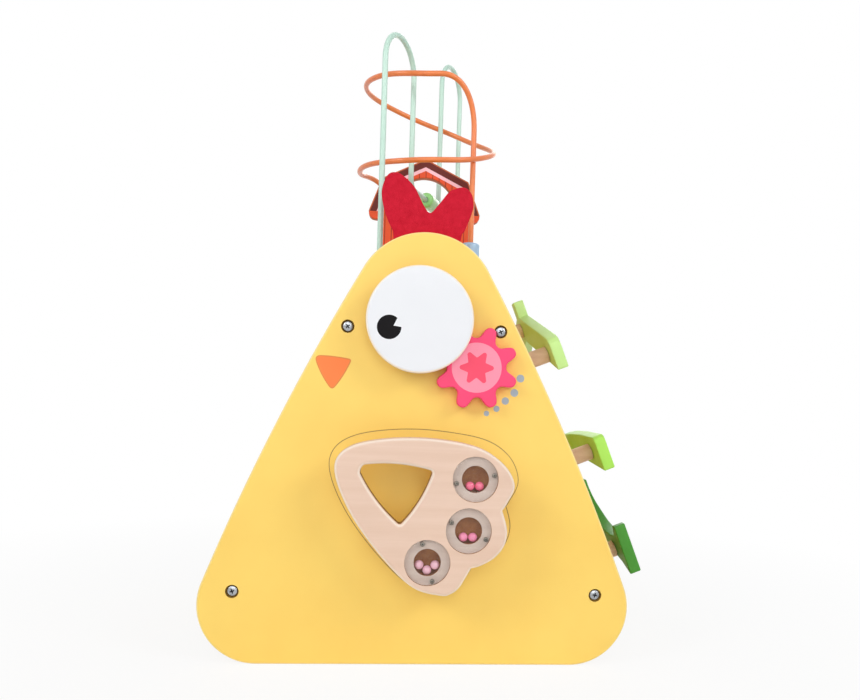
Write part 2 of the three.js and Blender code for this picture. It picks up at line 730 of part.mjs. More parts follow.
// Barn board: gambrel outline with rounded eaves, round-topped door above a sill
function addBarn() {
  const foot = platformTop - barnGroove + fit;
  const peak = platformTop + barnHeight;
  const breakZ = platformTop + barnBreakHeight;
  const eave = platformTop + barnEaveHeight;
  const eaveLow = eave - barnEaveDrop;
  const eaveRadius = barnEaveDrop * 0.9;
  const shape = new THREE.Shape();
  const half = [
    [barnWallX, foot], [barnWallX, eaveLow], [barnEaveX - eaveRadius, eaveLow],
  ];
  half.forEach(([x, z], index) => (index === 0 ? shape.moveTo(x, z) : shape.lineTo(x, z)));
  shape.quadraticCurveTo(barnEaveX + fit, eaveLow, barnEaveX, eave);
  shape.lineTo(barnBreakX, breakZ);
  shape.lineTo(0, peak);
  shape.lineTo(-barnBreakX, breakZ);
  shape.lineTo(-barnEaveX, eave);
  shape.quadraticCurveTo(-barnEaveX - fit, eaveLow, -barnEaveX + eaveRadius, eaveLow);
  shape.lineTo(-barnWallX, eaveLow);
  shape.lineTo(-barnWallX, foot);
  shape.closePath();
  const door = new THREE.Path();
  const doorTop = platformTop + doorHeight;
  const sill = platformTop + doorSill;
  door.moveTo(-doorRadius, sill);
  door.lineTo(-doorRadius, doorTop - doorRadius);
  door.absarc(0, doorTop - doorRadius, doorRadius, Math.PI, 0, true);
  door.lineTo(doorRadius, sill);
  door.closePath();
  shape.holes.push(door);
  const halfThick = barnThickness / 2;
  addPiece('barn', plate(shape, midY - halfThick, midY + halfThick), barnRed, 0.45);
}

// A curve whose point at a share of its way is given by a rule
class RuledCurve extends THREE.Curve {
  constructor(rule) {
    super();
    this.rule = rule;
  }

  getPoint(t, target = new THREE.Vector3()) {
    return target.copy(this.rule(t));
  }
}

// Half a circle in an upright plane, over from one leg of a wire to the next
function halfTurn(from, to, height) {
  const radius = from.distanceTo(to) / 2;
  return new RuledCurve((t) => {
    const { x, y } = from.clone().lerp(to, (1 - Math.cos(Math.PI * t)) / 2);
    return new THREE.Vector3(x, y, height + radius * Math.sin(Math.PI * t));
  });
}

// A quarter circle in an upright plane, from a leg down into the level dip, or up out of it
function dipBend(leg, along, rising) {
  return new RuledCurve((t) => {
    const turn = (rising ? 1 - t : t) * Math.PI / 2;
    const { x, y } = leg.clone().addScaledVector(along, dipBendRadius * (1 - Math.cos(turn)));
    return new THREE.Vector3(x, y, dipLow + dipBendRadius * (1 - Math.sin(turn)));
  });
}

// A wire's whole path: legs and turns end to end, each taking its own number of steps
class WirePath extends THREE.Curve {
  constructor() {
    super();
    this.pieces = [];
    this.steps = 0;
  }

  add(curve, steps) {
    this.pieces.push({ curve, first: this.steps, steps });
    this.steps += steps;
  }

  getPoint(t, target = new THREE.Vector3()) {
    const step = t * this.steps;
    const piece = this.pieces.findLast(({ first }) => first <= step) ?? this.pieces[0];
    return piece.curve.getPoint((step - piece.first) / piece.steps, target);
  }

  getUtoTmapping(u) {
    return u;
  }
}

const ringHeights = new THREE.SplineCurve(ringHeightShares.map((share) => new THREE.Vector2(0, share)));

// A point of the ring wire, which winds on an upright cone; in its end bends it sags below the ring
function ringPoint(turn, sag = 0) {
  const way = turn / ringTurn;
  const radius = THREE.MathUtils.lerp(ringNearRadius, ringFarRadius, way);
  return new THREE.Vector3(
    ringX + radius * Math.cos(ringStart - turn),
    midY + ringY + radius * Math.sin(ringStart - turn),
    platformTop + THREE.MathUtils.lerp(ringLowRise, ringHighRise, ringHeights.getPoint(way).y) - sag,
  );
}

// The bend from the ring's near leg into the ring, or at its far end out of it
function ringBend({ turn, rise }, atEnd) {
  return new RuledCurve((t) => {
    const angle = (atEnd ? 1 - t : t) * Math.PI / 2;
    const bent = turn * (1 - Math.cos(angle));
    return ringPoint(atEnd ? ringTurn - bent : bent, rise * (1 - Math.sin(angle)));
  });
}

// Where the four wire ends stand on the platform, from the middle of the box
function wireEnds() {
  const ringEnds = [ringPoint(0), ringPoint(ringTurn)].map(({ x, y }) => [x, y - midY]);
  return [mintLegs[0], mintLegs[3], ...ringEnds];
}

function addWire(name, path, colour) {
  const section = new THREE.Shape();
  for (let side = 0; side < wireSides; side += 1) {
    const turn = side / wireSides * Math.PI * 2;
    const point = [wireRadius * Math.cos(turn), wireRadius * Math.sin(turn)];
    if (side === 0) section.moveTo(...point);
    else section.lineTo(...point);
  }
  section.closePath();
  const geometry = new THREE.ExtrudeGeometry(section, {
    steps: path.steps,
    extrudePath: path,
    bevelEnabled: false,
  });
  addPiece(name, geometry, colour, 0.35, 0.2);
}

const wireFoot = platformTop - wireSocketDepth;

// The mint wire's four legs, and the way of the level dip from the second to the third
function mintRoute() {
  const legs = mintLegs.map(([x, y]) => new THREE.Vector2(x, midY + y));
  return { legs, along: legs[2].clone().sub(legs[1]).normalize() };
}

function uprightLeg(x, y, from, to) {
  return new THREE.LineCurve3(new THREE.Vector3(x, y, from), new THREE.Vector3(x, y, to));
}

// Near hump, level dip through the barn door, far hump
function addMintWire() {
  const { legs, along } = mintRoute();
  const nearHeight = platformTop + nearHumpRise - legs[0].distanceTo(legs[1]) / 2;
  const farHeight = platformTop + farHumpRise - legs[2].distanceTo(legs[3]) / 2;
  const dipHeight = dipLow + dipBendRadius;
  const down = dipBend(legs[1], along, false);
  const up = dipBend(legs[2], along.clone().negate(), true);
  const path = new WirePath();
  path.add(uprightLeg(legs[0].x, legs[0].y, wireFoot, nearHeight), legSteps);
  path.add(halfTurn(legs[0], legs[1], nearHeight), halfTurnSteps);
  path.add(uprightLeg(legs[1].x, legs[1].y, nearHeight, dipHeight), legSteps);
  path.add(down, bendSteps);
  path.add(new THREE.LineCurve3(down.getPoint(1), up.getPoint(0)), legSteps);
  path.add(up, bendSteps);
  path.add(uprightLeg(legs[2].x, legs[2].y, dipHeight, farHeight), legSteps);
  path.add(halfTurn(legs[2], legs[3], farHeight), halfTurnSteps);
  path.add(uprightLeg(legs[3].x, legs[3].y, farHeight, wireFoot), legSteps);
  addWire('mint_wire', path, mint);
}

function addOrangeWire() {
  const first = ringBend(nearBend, false);
  const last = ringBend(farBend, true);
  const ring = new RuledCurve((t) =>
    ringPoint(THREE.MathUtils.lerp(nearBend.turn, ringTurn - farBend.turn, t)));
  const start = first.getPoint(0);
  const end = last.getPoint(1);
  const path = new WirePath();
  path.add(uprightLeg(start.x, start.y, wireFoot, start.z), legSteps);
  path.add(first, bendSteps);
  path.add(ring, ringSteps);
  path.add(last, bendSteps);
  path.add(uprightLeg(end.x, end.y, end.z, wireFoot), legSteps);
  addWire('orange_wire', path, orange);
}

// A turned wooden bead with a bore, standing on Z from 0 to its length
function beadGeometry(radius, length, bore) {
  const arris = (fromTurn, x, z) => [0, 1, 2].map((step) => {
    const turn = fromTurn + step / 2 * Math.PI / 2;
    return new THREE.Vector2(x + beadRounding * Math.cos(turn), z + beadRounding * Math.sin(turn));
  });
  const profile = [
    new THREE.Vector2(bore, 0),
    ...arris(-Math.PI / 2, radius - beadRounding, beadRounding),
    ...arris(0, radius - beadRounding, length - beadRounding),
    new THREE.Vector2(bore, length),
    new THREE.Vector2(bore, 0),
  ];
  const geometry = new THREE.LatheGeometry(profile, 18);
  geometry.rotateX(Math.PI / 2);
  return geometry;
}

// The stack of beads on the ring wire's near leg
function addStackBeads() {
  const { x, y } = ringPoint(0);
  let low = platformTop + fit;
  for (const { name, radius, length, colour } of stackBeads) {
    const bead = beadGeometry(radius, length, wireRadius + beadGap);
    bead.translate(x, y, low);
    addPiece(name, bead, colour, 0.4);
    low += length + fit;
  }
}

// The long bead on the level dip of the mint wire
function addDipBead() {
  const { legs, along } = mintRoute();
  const bead = beadGeometry(dipBeadRadius, dipBeadLength, wireRadius + beadGap);
  bead.translate(0, 0, -dipBeadLength / 2);
  const level = new THREE.Vector3(along.x, along.y, 0);
  bead.applyQuaternion(new THREE.Quaternion().setFromUnitVectors(new THREE.Vector3(0, 0, 1), level));
  const { x, y } = legs[1].clone().lerp(legs[2], dipBeadShare);
  bead.translate(x, y, dipLow);
  addPiece('bead_green', bead, 0x9fdc8b, 0.4);
}

addPanels();
addPanelScrews('front', frontFace, 1);
addPanelScrews('back', backPanelY + panelThickness / 2, -1);
addBoards();
addGears();
addWing();
addComb();
addBarn();
addMintWire();
addOrangeWire();
addStackBeads();
addDipBead();

export default part;
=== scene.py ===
from math import asin, atan2, cos, degrees, pi, radians, sin, sqrt, tan, tanh

import bmesh
import bpy
from mathutils import Matrix, Vector
from mathutils.geometry import intersect_line_line_2d


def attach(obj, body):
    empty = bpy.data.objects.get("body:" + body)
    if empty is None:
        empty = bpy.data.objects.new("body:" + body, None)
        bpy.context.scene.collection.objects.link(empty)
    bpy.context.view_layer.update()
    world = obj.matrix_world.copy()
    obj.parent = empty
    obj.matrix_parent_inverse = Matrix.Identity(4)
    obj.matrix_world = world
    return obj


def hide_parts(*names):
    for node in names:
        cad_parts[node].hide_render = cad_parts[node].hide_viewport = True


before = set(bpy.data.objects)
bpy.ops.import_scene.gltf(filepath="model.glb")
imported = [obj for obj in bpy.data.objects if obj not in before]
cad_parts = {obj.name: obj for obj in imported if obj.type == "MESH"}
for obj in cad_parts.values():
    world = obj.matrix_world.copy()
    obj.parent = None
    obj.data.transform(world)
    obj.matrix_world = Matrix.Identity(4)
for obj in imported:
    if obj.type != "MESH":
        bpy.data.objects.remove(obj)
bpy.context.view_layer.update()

# --------------------
# Camera, floor and lamps.
# The box stands on a white studio floor. A level camera a little to its left looks at the front,
# and four soft boxes light it: one high at each side, one above the camera and one behind.

camera_place = (-0.02056, -0.656, 0.23327)
yaw, pitch, roll = (radians(angle) for angle in (4.54, 0.94, 1.83))
picture_width = 860
focal_pixels = 782
shift_pixels = (-30, 50)
sensor_width = 36

scene = bpy.context.scene


def add_to_scene(name, data):
    made = bpy.data.objects.new(name, data)
    scene.collection.objects.link(made)
    return made


camera = add_to_scene("camera", bpy.data.cameras.new("camera"))
scene.camera = camera
right, ahead, up = (
    Matrix.Rotation(roll, 3, "Y") @ Matrix.Rotation(pitch, 3, "X") @ Matrix.Rotation(yaw, 3, "Z")
)
camera.matrix_world = (
    Matrix.Translation(camera_place) @ Matrix((right, up, -ahead)).transposed().to_4x4()
)
camera.data.sensor_width = sensor_width
camera.data.lens = sensor_width * focal_pixels / picture_width
camera.data.shift_x = shift_pixels[0] / picture_width
camera.data.shift_y = shift_pixels[1] / picture_width
camera.data.clip_start = 0.01


def linear(hex_colour):
    """A written colour such as 0xfbd768 as the linear values that shaders take."""
    channels = [(hex_colour >> shift & 255) / 255 for shift in (16, 8, 0)]
    return tuple(c / 12.92 if c <= 0.04045 else ((c + 0.055) / 1.055) ** 2.4 for c in channels) + (1,)


def stepped(end, steps):
    """Values in even steps from 0 to an end, both included."""
    return [end * k / steps for k in range(steps + 1)]


def feed(tree, node, inputs):
    """Gives inputs of a node, named or numbered, a value of their own or a link from another node."""
    for key, value in inputs.items():
        socket = node.inputs[key.replace("_", " ") if isinstance(key, str) else key]
        if isinstance(value, bpy.types.NodeSocket):
            tree.links.new(value, socket)
        else:
            socket.default_value = value


def add_node(tree, kind, *in_order, **settings):
    """A shader node with its settings, its inputs by name, and its first inputs in order."""
    node = tree.nodes.new(f"ShaderNode{kind}")
    for name in [name for name in settings if hasattr(node, name)]:
        setattr(node, name, settings.pop(name))
    feed(tree, node, settings)
    feed(tree, node, dict(enumerate(in_order)))
    return node


def calculate(tree, operation, *terms):
    return add_node(tree, "Math", *terms, operation=operation).outputs[0]


def spread(tree, value, low, high, start=0, end=1):
    """A value spread over a range, from a range that is 0 to 1 unless others are given."""
    return add_node(tree, "MapRange", value, start, end, low, high).outputs[0]


def seen_directly(tree):
    """1 for what the camera sees itself, in a mirror or through glass, and 0 for light on the object."""
    path = add_node(tree, "LightPath").outputs
    either = calculate(tree, "MAXIMUM", path["Is Camera Ray"], path["Is Glossy Ray"])
    return calculate(tree, "MAXIMUM", either, path["Is Transmission Ray"])


def new_material(name):
    """A new material, its node tree and its shader."""
    material = bpy.data.materials.new(name)
    material.use_nodes = True
    return material, material.node_tree, material.node_tree.nodes["Principled BSDF"]


white = (1, 1, 1, 1)
sky_on_object = 0.31
world = bpy.data.worlds.new("studio")
scene.world = world
world.use_nodes = True
sky = world.node_tree
sky_strength = spread(sky, seen_directly(sky), sky_on_object, 1)
feed(sky, sky.nodes["Background"], {"Color": white, "Strength": sky_strength})

floor_radius = 6
floor_corners = 64
floor_turns = stepped(2 * pi, floor_corners)[:-1]
floor_mesh = bpy.data.meshes.new("floor")
floor_mesh.from_pydata(
    [(floor_radius * cos(t), floor_radius * sin(t), 0) for t in floor_turns],
    [], [list(range(floor_corners))],
)
add_to_scene("floor", floor_mesh)

shadow_glow = 0.87
glow_near, glow_far = 0.28, 0.8
paper, sheet, paper_shader = new_material("white_paper")
fibres = add_node(sheet, "TexNoise", Scale=30).outputs["Fac"]
feed(sheet, paper_shader, {
    "Base Color": spread(sheet, fibres, 0.93, 0.95),
    "Roughness": 1,
    "Specular IOR Level": 0,
})
floor_place = add_node(sheet, "TexCoord").outputs["Object"]
distance = add_node(sheet, "VectorMath", floor_place, operation="LENGTH").outputs["Value"]
glow_share = spread(sheet, distance, shadow_glow, 1, glow_near, glow_far)
glowing_paper = add_node(
    sheet, "MixShader", calculate(sheet, "MULTIPLY", seen_directly(sheet), glow_share),
    paper_shader.outputs[0], add_node(sheet, "Emission", Color=white, Strength=1).outputs[0],
)
feed(sheet, sheet.nodes["Material Output"], {"Surface": glowing_paper.outputs[0]})
floor_mesh.materials.append(paper)

for name, place, target, size, watts in (
    ("left_soft_box", (-1.25, -0.95, 1.15), (0, 0, 0.2), 0.7, 9.5),
    ("right_soft_box", (1.25, -0.95, 1.15), (0, 0, 0.2), 0.7, 9.5),
    ("front_soft_box", (0, -2.2, 1.1), (0, 0, 0.25), 1.6, 16),
    ("back_soft_box", (0.5, 2.3, 1.3), (0, 0.2, 0.25), 1.6, 14),
):
    lamp = add_to_scene(name, bpy.data.lights.new(name, "AREA"))
    lamp.data.size = size
    lamp.data.energy = watts
    lamp.location = place
    lamp.rotation_euler = (Vector(target) - Vector(place)).to_track_quat("-Z", "Y").to_euler()
scene.view_settings.view_transform = "Standard"

# --------------------
# Front panel.
# A 12 mm board in the form of a triangle with round corners. It is routed, its arrises are rounded,
# and it is sprayed with satin yellow paint. The beak, the dots and the line round the wing are printed.

mm = 0.001
sharp_edge = radians(35)


def noise(tree, scale, detail=2, stretch=(1, 1, 1), roughness=0.5, distortion=0):
    """Noise on the piece's own places in metres, stretched by a scale along each axis."""
    place = add_node(tree, "TexCoord").outputs["Object"]
    stretched = add_node(tree, "Mapping", Vector=place, Scale=stretch).outputs[0]
    return add_node(
        tree, "TexNoise", Vector=stretched, Scale=scale, Detail=detail, Roughness=roughness,
        Distortion=distortion,
    ).outputs["Fac"]


def between(tree, value, colours, low=0.3, high=0.7):
    """A colour between two written colours, by a value."""
    ramp = add_node(tree, "ValToRGB", value)
    for stop, position, colour in zip(ramp.color_ramp.elements, (low, high), colours):
        stop.position, stop.color = position, linear(colour)
    return ramp.outputs["Color"]


def blend(tree, share, first, second, kind="RGBA"):
    """A blend of two colours, or of two values of kind FLOAT, by a share."""
    input_number, output_number = {"RGBA": (6, 2), "FLOAT": (2, 0)}[kind]
    node = add_node(tree, "Mix", data_type=kind)
    feed(tree, node, {0: share, input_number: first, input_number + 1: second})
    return node.outputs[output_number]


def relief(tree, height, strength, depth):
    return add_node(tree, "Bump", Height=height, Strength=strength, Distance=depth).outputs["Normal"]


def painted_arris_highlight(tree, colour, pale):
    """A colour with a painted highlight: paler on rounded arrises, where they would catch the light, for
    a board across Y.
    """
    normal = add_node(tree, "NewGeometry").outputs["Normal"]
    facing = add_node(tree, "VectorMath", normal, (0, 1, 0), operation="DOT_PRODUCT").outputs["Value"]
    flatness = calculate(tree, "ABSOLUTE", facing)
    from_wall = spread(tree, flatness, 0, 1, 0.25, 0.55)
    to_face = spread(tree, flatness, 1, 0, 0.8, 0.97)
    return blend(tree, calculate(tree, "MULTIPLY", from_wall, to_face), colour, linear(pale))


def sprayed_paint(name, colours, rough=(0.4, 0.5), peel=0.1, specular=0.4, arris_highlight=None, gloss=0):
    """Sprayed paint: cloudy in tone by a hair, with a fine orange peel, and perhaps with a painted
    highlight on its arrises.
    """
    material, tree, shader = new_material(name)
    tone = between(tree, noise(tree, scale=14, detail=3), colours)
    feed(tree, shader, {
        "Base Color": painted_arris_highlight(tree, tone, arris_highlight) if arris_highlight else tone,
        "Roughness": spread(tree, noise(tree, scale=90), *rough),
        "Normal": relief(tree, noise(tree, scale=900), peel, depth=0.0004),
        "Specular IOR Level": specular,
        "Coat Weight": gloss,
    })
    return material


def panel_ink(name, colours):
    """Ink on the panel's paint, a little smoother than the paint."""
    return sprayed_paint(name, colours, rough=(0.45, 0.5), peel=0.05)


# The yellow paint turns a paler yellow on the arrises, a painted highlight.
yellow_paint = sprayed_paint("yellow_paint", (0xf9d168, 0xfdd96f), arris_highlight=0xffe596)
# Bare board in the counterbores, in a brown dark enough to paint the shade inside them as well.
bare_board_and_painted_shade = sprayed_paint(
    "bare_board_and_painted_shade", (0xa5803c, 0xb5904a), rough=(0.7, 0.8), peel=0.2, specular=0.1,
)
orange_ink = panel_ink("orange_ink", (0xfd7e3d, 0xff8544))
grey_ink = panel_ink("grey_ink", (0x9badb6, 0xa4b6bf))
line_ink = panel_ink("line_ink", (0xa08246, 0xa98b4e))
beak_edge_ink = panel_ink("beak_edge_ink", (0xe0853c, 0xe48b44))


def arc(centre, radius, start, end, steps=5):
    """Points along an arc, with its angles in degrees, both ends included."""
    turns = [radians(start + turn) for turn in stepped(end - start, steps)]
    return [Vector((centre[0] + radius * cos(t), centre[1] + radius * sin(t))) for t in turns]


def circle(centre, radius, steps=48):
    return arc(centre, radius, 0, 360, steps)[:-1]


def bent(first, control, last, t):
    """A point on a curve from one point to another, pulled towards a third."""
    return first.lerp(control, t).lerp(control.lerp(last, t), t)


def in_turn(loop):
    """Each point of a closed loop, between the one before and the one after it."""
    return zip(loop[-1:] + loop[:-1], loop, loop[1:] + loop[:1])


def signed_area(loop):
    return sum(a.x * b.y - b.x * a.y for _, a, b in in_turn(loop)) / 2


def anticlockwise(loop, way=1):
    """The loop run anticlockwise, or clockwise with way -1, without points that lie on each other."""
    apart = 1e-4
    points = [here for before, here, _ in in_turn(loop) if (here - before).length > apart]
    return points if signed_area(points) * way > 0 else points[::-1]


def offset_loop(loop, distance):
    """A loop moved to its right by a distance, with mitred corners. Right is outwards on an outline."""
    moved = []
    mitre_limit = 0.4
    for before, here, after in in_turn(loop):
        into, out = (here - before).normalized(), (after - here).normalized()
        side_in, side_out = Vector((into.y, -into.x)), Vector((out.y, -out.x))
        opening = max(mitre_limit, 1 + side_in.dot(side_out))
        moved.append(here + (side_in + side_out) * distance / opening)
    return moved


def round_corners(loop, radius, steps, sharpest):
    """A loop whose corners of more than some degrees are replaced by arcs."""
    rounded = []
    longest_share = 0.45
    for before, here, after in in_turn(loop):
        into, out = here - before, after - here
        turn = abs(into.angle_signed(out))
        if turn < radians(sharpest):
            rounded.append(here)
            continue
        cut = min(radius * tan(turn / 2), into.length * longest_share, out.length * longest_share)
        first, last = here - into.normalized() * cut, here + out.normalized() * cut
        rounded += [bent(first, here, last, t) for t in stepped(1, steps)]
    return rounded


def set_out(bm, loop, y):
    """The vertices of a loop at a depth."""
    return [bm.verts.new((p.x, y, p.y)) for p in loop]


def fill(bm, loops, material, way):
    """Fills the area between loops of vertices with faces."""
    edges = [
        bm.edges.get((a, b)) or bm.edges.new((a, b)) for loop in loops for _, a, b in in_turn(loop)
    ]
    made = bmesh.ops.triangle_fill(bm, use_beauty=True, edges=edges, normal=(0, way, 0))
    for face in made["geom"]:
        if isinstance(face, bmesh.types.BMFace):
            face.material_index = material


def band(bm, lower, upper, material=0):
    """A band of faces between two loops of as many vertices, or between a loop and a point."""
    for k in range(max(len(lower), len(upper))):
        corners = [lower[k % len(lower)], lower[(k + 1) % len(lower)],
                   upper[(k + 1) % len(upper)], upper[k % len(upper)]]
        bm.faces.new(dict.fromkeys(corners)).material_index = material


def sink(bm, recess, y, way):
    """A blind recess: its wall, its floor, and any recess in that floor. Returns its rim."""
    loop = anticlockwise(recess["loop"], -1)
    foot_y = y + way * recess["depth"]
    rim, foot = set_out(bm, loop, y), set_out(bm, loop, foot_y)
    band(bm, rim, foot, recess["wall"])
    inner = [sink(bm, deeper, foot_y, way) for deeper in recess.get("recesses", [])]
    fill(bm, [foot] + inner, recess["floor"], -way)
    return rim


def finish_mesh(bm, name, materials):
    """A piece from a bmesh drawn in millimetres, smooth except at its sharp edges."""
    bmesh.ops.recalc_face_normals(bm, faces=bm.faces)
    mesh = bpy.data.meshes.new(name)
    bm.to_mesh(mesh)
    bm.free()
    mesh.transform(Matrix.Scale(mm, 4))
    mesh.polygons.foreach_set("use_smooth", [True] * len(mesh.polygons))
    mesh.set_sharp_from_angle(angle=sharp_edge)
    for material in materials:
        mesh.materials.append(material)
    return add_to_scene(name, mesh)


def board(name, outline, front, back, rounding, materials, holes=(), prints=(), recesses=(),
          back_recesses=(), rings=5, place=None, hole_wall=0):
    """A board cut to an X-Z outline, in millimetres, with quarter-round arrises on both faces.
    A print is a list of loops with their materials, each inside the one before."""
    bm = bmesh.new()
    rim_width = 0.5
    profile = [(rounding + rim_width, front)] + [
        (rounding * (1 - sin(t)), front + rounding * (1 - cos(t))) for t in stepped(pi / 2, rings)
    ]
    profile += [(inset, back - (y - front)) for inset, y in reversed(profile)]
    middle_band = len(profile) // 2 - 1
    front_rims, back_rims = [], []
    for loop in [anticlockwise(outline)] + [anticlockwise(hole, -1) for hole in holes]:
        ladder = [set_out(bm, offset_loop(loop, -inset), y) for inset, y in profile]
        for step, (lower, upper) in enumerate(zip(ladder, ladder[1:])):
            band(bm, lower, upper, hole_wall if front_rims and step == middle_band else 0)
        front_rims.append(ladder[0])
        back_rims.append(ladder[-1])
    for layers in prints:
        loops = [set_out(bm, anticlockwise(loop), front) for loop, _ in layers]
        front_rims.append(loops[0])
        for k, (_, material) in enumerate(layers):
            fill(bm, loops[k:k + 2], material, -1)
    front_rims += [sink(bm, recess, front, 1) for recess in recesses]
    back_rims += [sink(bm, recess, back, -1) for recess in back_recesses]
    fill(bm, front_rims, 0, -1)
    fill(bm, back_rims, 0, 1)
    if place:
        bm.transform(place)
    return finish_mesh(bm, name, materials)


def fit(body, node, piece):
    """Puts a piece on the body it moves with, in the place of a solid, which it hides."""
    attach(piece, body)
    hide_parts(node)


panel_width = 360
panel_height = 361
panel_thickness = 12
panel_rounding = 2.4
apex_radius = 59.5
corner_radius = 49
bow_radius = 2020
front_face = -panel_thickness / 2


def panel_outline():
    """The apex arc, the bowed sides and the corner arcs, each tangent to the next."""
    apex = Vector((0, panel_height - apex_radius))
    corner = Vector((panel_width / 2 - corner_radius, corner_radius))
    across = corner - apex
    span = across.length
    to_apex, to_corner = bow_radius - apex_radius, bow_radius - corner_radius
    along = (to_apex ** 2 - to_corner ** 2 + span ** 2) / (2 * span)
    aside = sqrt(to_apex ** 2 - along ** 2)
    across.normalize()
    centre = apex + across * along + Vector((across.y, -across.x)) * aside
    low = degrees(atan2(corner.y - centre.y, corner.x - centre.x))
    high = degrees(atan2(apex.y - centre.y, apex.x - centre.x))
    half = arc(corner, corner_radius, -90, low, 36) + arc(centre, bow_radius, low, high, 30)[1:-1]
    half += arc(apex, apex_radius, high, 90, 30)
    return half + [Vector((-p.x, p.y)) for p in reversed(half[:-1])]


wing_left = -69
wing_low = 66.5
wing_width = 144
wing_height = 125.7
wing_main_shares = [
    (0.769, 0.177), (0.734, 0.104), (0.706, 0.052), (0.663, 0.013), (0.604, 0), (0.449, 0.049),
    (0.284, 0.223), (0.118, 0.469), (0.017, 0.705), (0.01, 0.855), (0.106, 0.946), (0.303, 0.991),
    (0.544, 0.995), (0.788, 0.948), (0.938, 0.84), (0.999, 0.711), (0.962, 0.6), (0.934, 0.549),
]
wing_lobe_shares = [
    (0.934, 0.549), (0.959, 0.457), (0.965, 0.389), (0.945, 0.312), (0.894, 0.242), (0.821, 0.194),
    (0.769, 0.177),
]


def spline_through(points, steps=10):
    """A smooth curve through points, with its end points doubled."""
    curve = []
    for k in range(len(points) - 1):
        p0, p1 = points[max(k - 1, 0)], points[k]
        p2, p3 = points[k + 1], points[min(k + 2, len(points) - 1)]
        v0, v1 = (p2 - p0) / 2, (p3 - p1) / 2
        curve += [
            (2 * p1 - 2 * p2 + v0 + v1) * t ** 3 + (-3 * p1 + 3 * p2 - 2 * v0 - v1) * t ** 2 + v0 * t + p1
            for t in stepped(1, steps)[:-1]
        ]
    return curve + [points[-1]]


def wing_outline():
    """The wing's long side and its lobe, which meet in two sharp inner corners."""
    outline = []
    for shares in (wing_main_shares, wing_lobe_shares):
        points = [Vector((wing_left + x * wing_width, wing_low + z * wing_height)) for x, z in shares]
        outline += spline_through(points)[:-1]
    return anticlockwise(outline)


def without_crossings(loop):
    """Cuts out the small loops that an offset makes at inner corners."""
    points = list(loop)
    furthest = 40
    k = 0
    while k < len(points):
        for ahead_by in range(min(furthest, len(points) - 3), 1, -1):
            places = [(k + step) % len(points) for step in range(ahead_by + 2)]
            crossing = intersect_line_line_2d(*(points[place] for place in places[:2] + places[-2:]))
            if crossing:
                points[places[1]] = crossing
                points = [p for index, p in enumerate(points) if index not in places[2:-1]]
                break
        k += 1
    return points


line_gap = 4.8
line_width = 0.75
line_stretch = 1.018
line_bulge = 2.9
bulge_focus = 21
bulge_way = Vector((cos(radians(38)), sin(radians(38))))
wing_middle = Vector((wing_left + wing_width / 2, wing_low + wing_height / 2))


def line_point(point):
    """A point of the line, stretched a little in width and moved out beyond the wing's upper right."""
    stretched = Vector((wing_middle.x + (point.x - wing_middle.x) * line_stretch, point.y))
    out = (stretched - wing_middle).normalized()
    return stretched + out * line_bulge * max(0, out.dot(bulge_way)) ** bulge_focus


line_outside, line_inside = (
    [line_point(p) for p in without_crossings(offset_loop(wing_outline(), line_gap + width))]
    for width in (line_width, 0)
)

beak_corners = [Vector((-90.3, 255.9)), Vector((-59.2, 253.5)), Vector((-75.0, 227.2))]
beak_bulges = [Vector((-75.2, 256.6)), Vector((-65.0, 238.4)), Vector((-85.9, 240.2))]
beak_cut_shares = [0.18, 0.09, 0.13]
beak_edge_width = 1.05
side_steps, corner_steps = 8, 6


def beak_point(side, t):
    return bent(beak_corners[side], beak_bulges[side], beak_corners[(side + 1) % 3], t)


beak = []
for side, following in ((0, 1), (1, 2), (2, 0)):
    begin, end = beak_cut_shares[side], 1 - beak_cut_shares[following]
    beak += [beak_point(side, begin + t) for t in stepped(end - begin, side_steps)]
    corner, onward = beak_corners[following], beak_point(following, beak_cut_shares[following])
    beak += [bent(beak[-1], corner, onward, t) for t in stepped(1, corner_steps)[1:-1]]
beak = anticlockwise(beak)

dots = [
    ((81.3, 242.1), 3.3), ((76.5, 229.9), 3.3), ((69.1, 222.9), 3.1), ((61.9, 216.1), 2.6),
    ((53.6, 212.0), 2.3),
]

lower_screw, upper_screw = (151.3, 60.1), (63.5, 280.5)
screw_places = [(x * side, z) for side in (-1, 1) for x, z in (lower_screw, upper_screw)]
counterbore_radius = 5.5
counterbore_depth = 3


def counterbores(wall):
    """The bored seats of a panel's screws, lined with bare board darkened as painted shade."""
    bore = {"depth": counterbore_depth, "wall": wall, "floor": wall}
    return [{"loop": circle(place, counterbore_radius, 32), **bore} for place in screw_places]


paint, orange, grey, line, beak_edge, counterbore_shade = range(6)
fit("box", "front_panel", board(
    "yellow_front_panel", panel_outline(), front_face, -front_face, panel_rounding,
    [yellow_paint, orange_ink, grey_ink, line_ink, beak_edge_ink, bare_board_and_painted_shade],
    prints=[
        [(beak, beak_edge), (offset_loop(beak, -beak_edge_width), orange)],
        *([(circle(place, radius, 32), grey)] for place, radius in dots),
        [(line_outside, line), (line_inside, paint)],
    ],
    recesses=counterbores(counterbore_shade),
))

# --------------------
# Back panel.
# The same board as the front one, plain, with its screws driven from behind.

box_depth = 260
back_face = box_depth + front_face
fit("box", "back_panel", board(
    "yellow_back_panel", panel_outline(), back_face - panel_thickness, back_face, panel_rounding,
    [yellow_paint, bare_board_and_painted_shade], back_recesses=counterbores(1),
))

# --------------------
# Boards between the panels.
# Two sloping side boards, a base and a platform of plain board, sprayed yellow like the panels.
# They are glued between the panels and keep the meshes of their solids.


def dress(names, material):
    """Gives solids that stay as they were packed a material of the scene."""
    for name in names:
        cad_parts[name].data.materials.clear()
        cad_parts[name].data.materials.append(material)


dress(("left_side_board", "right_side_board", "base_board", "platform"), yellow_paint)

# --------------------
# Panel screws.
# Zinc-plated pan-head wood screws with a cross recess, sunk in counterbores, four to a panel.


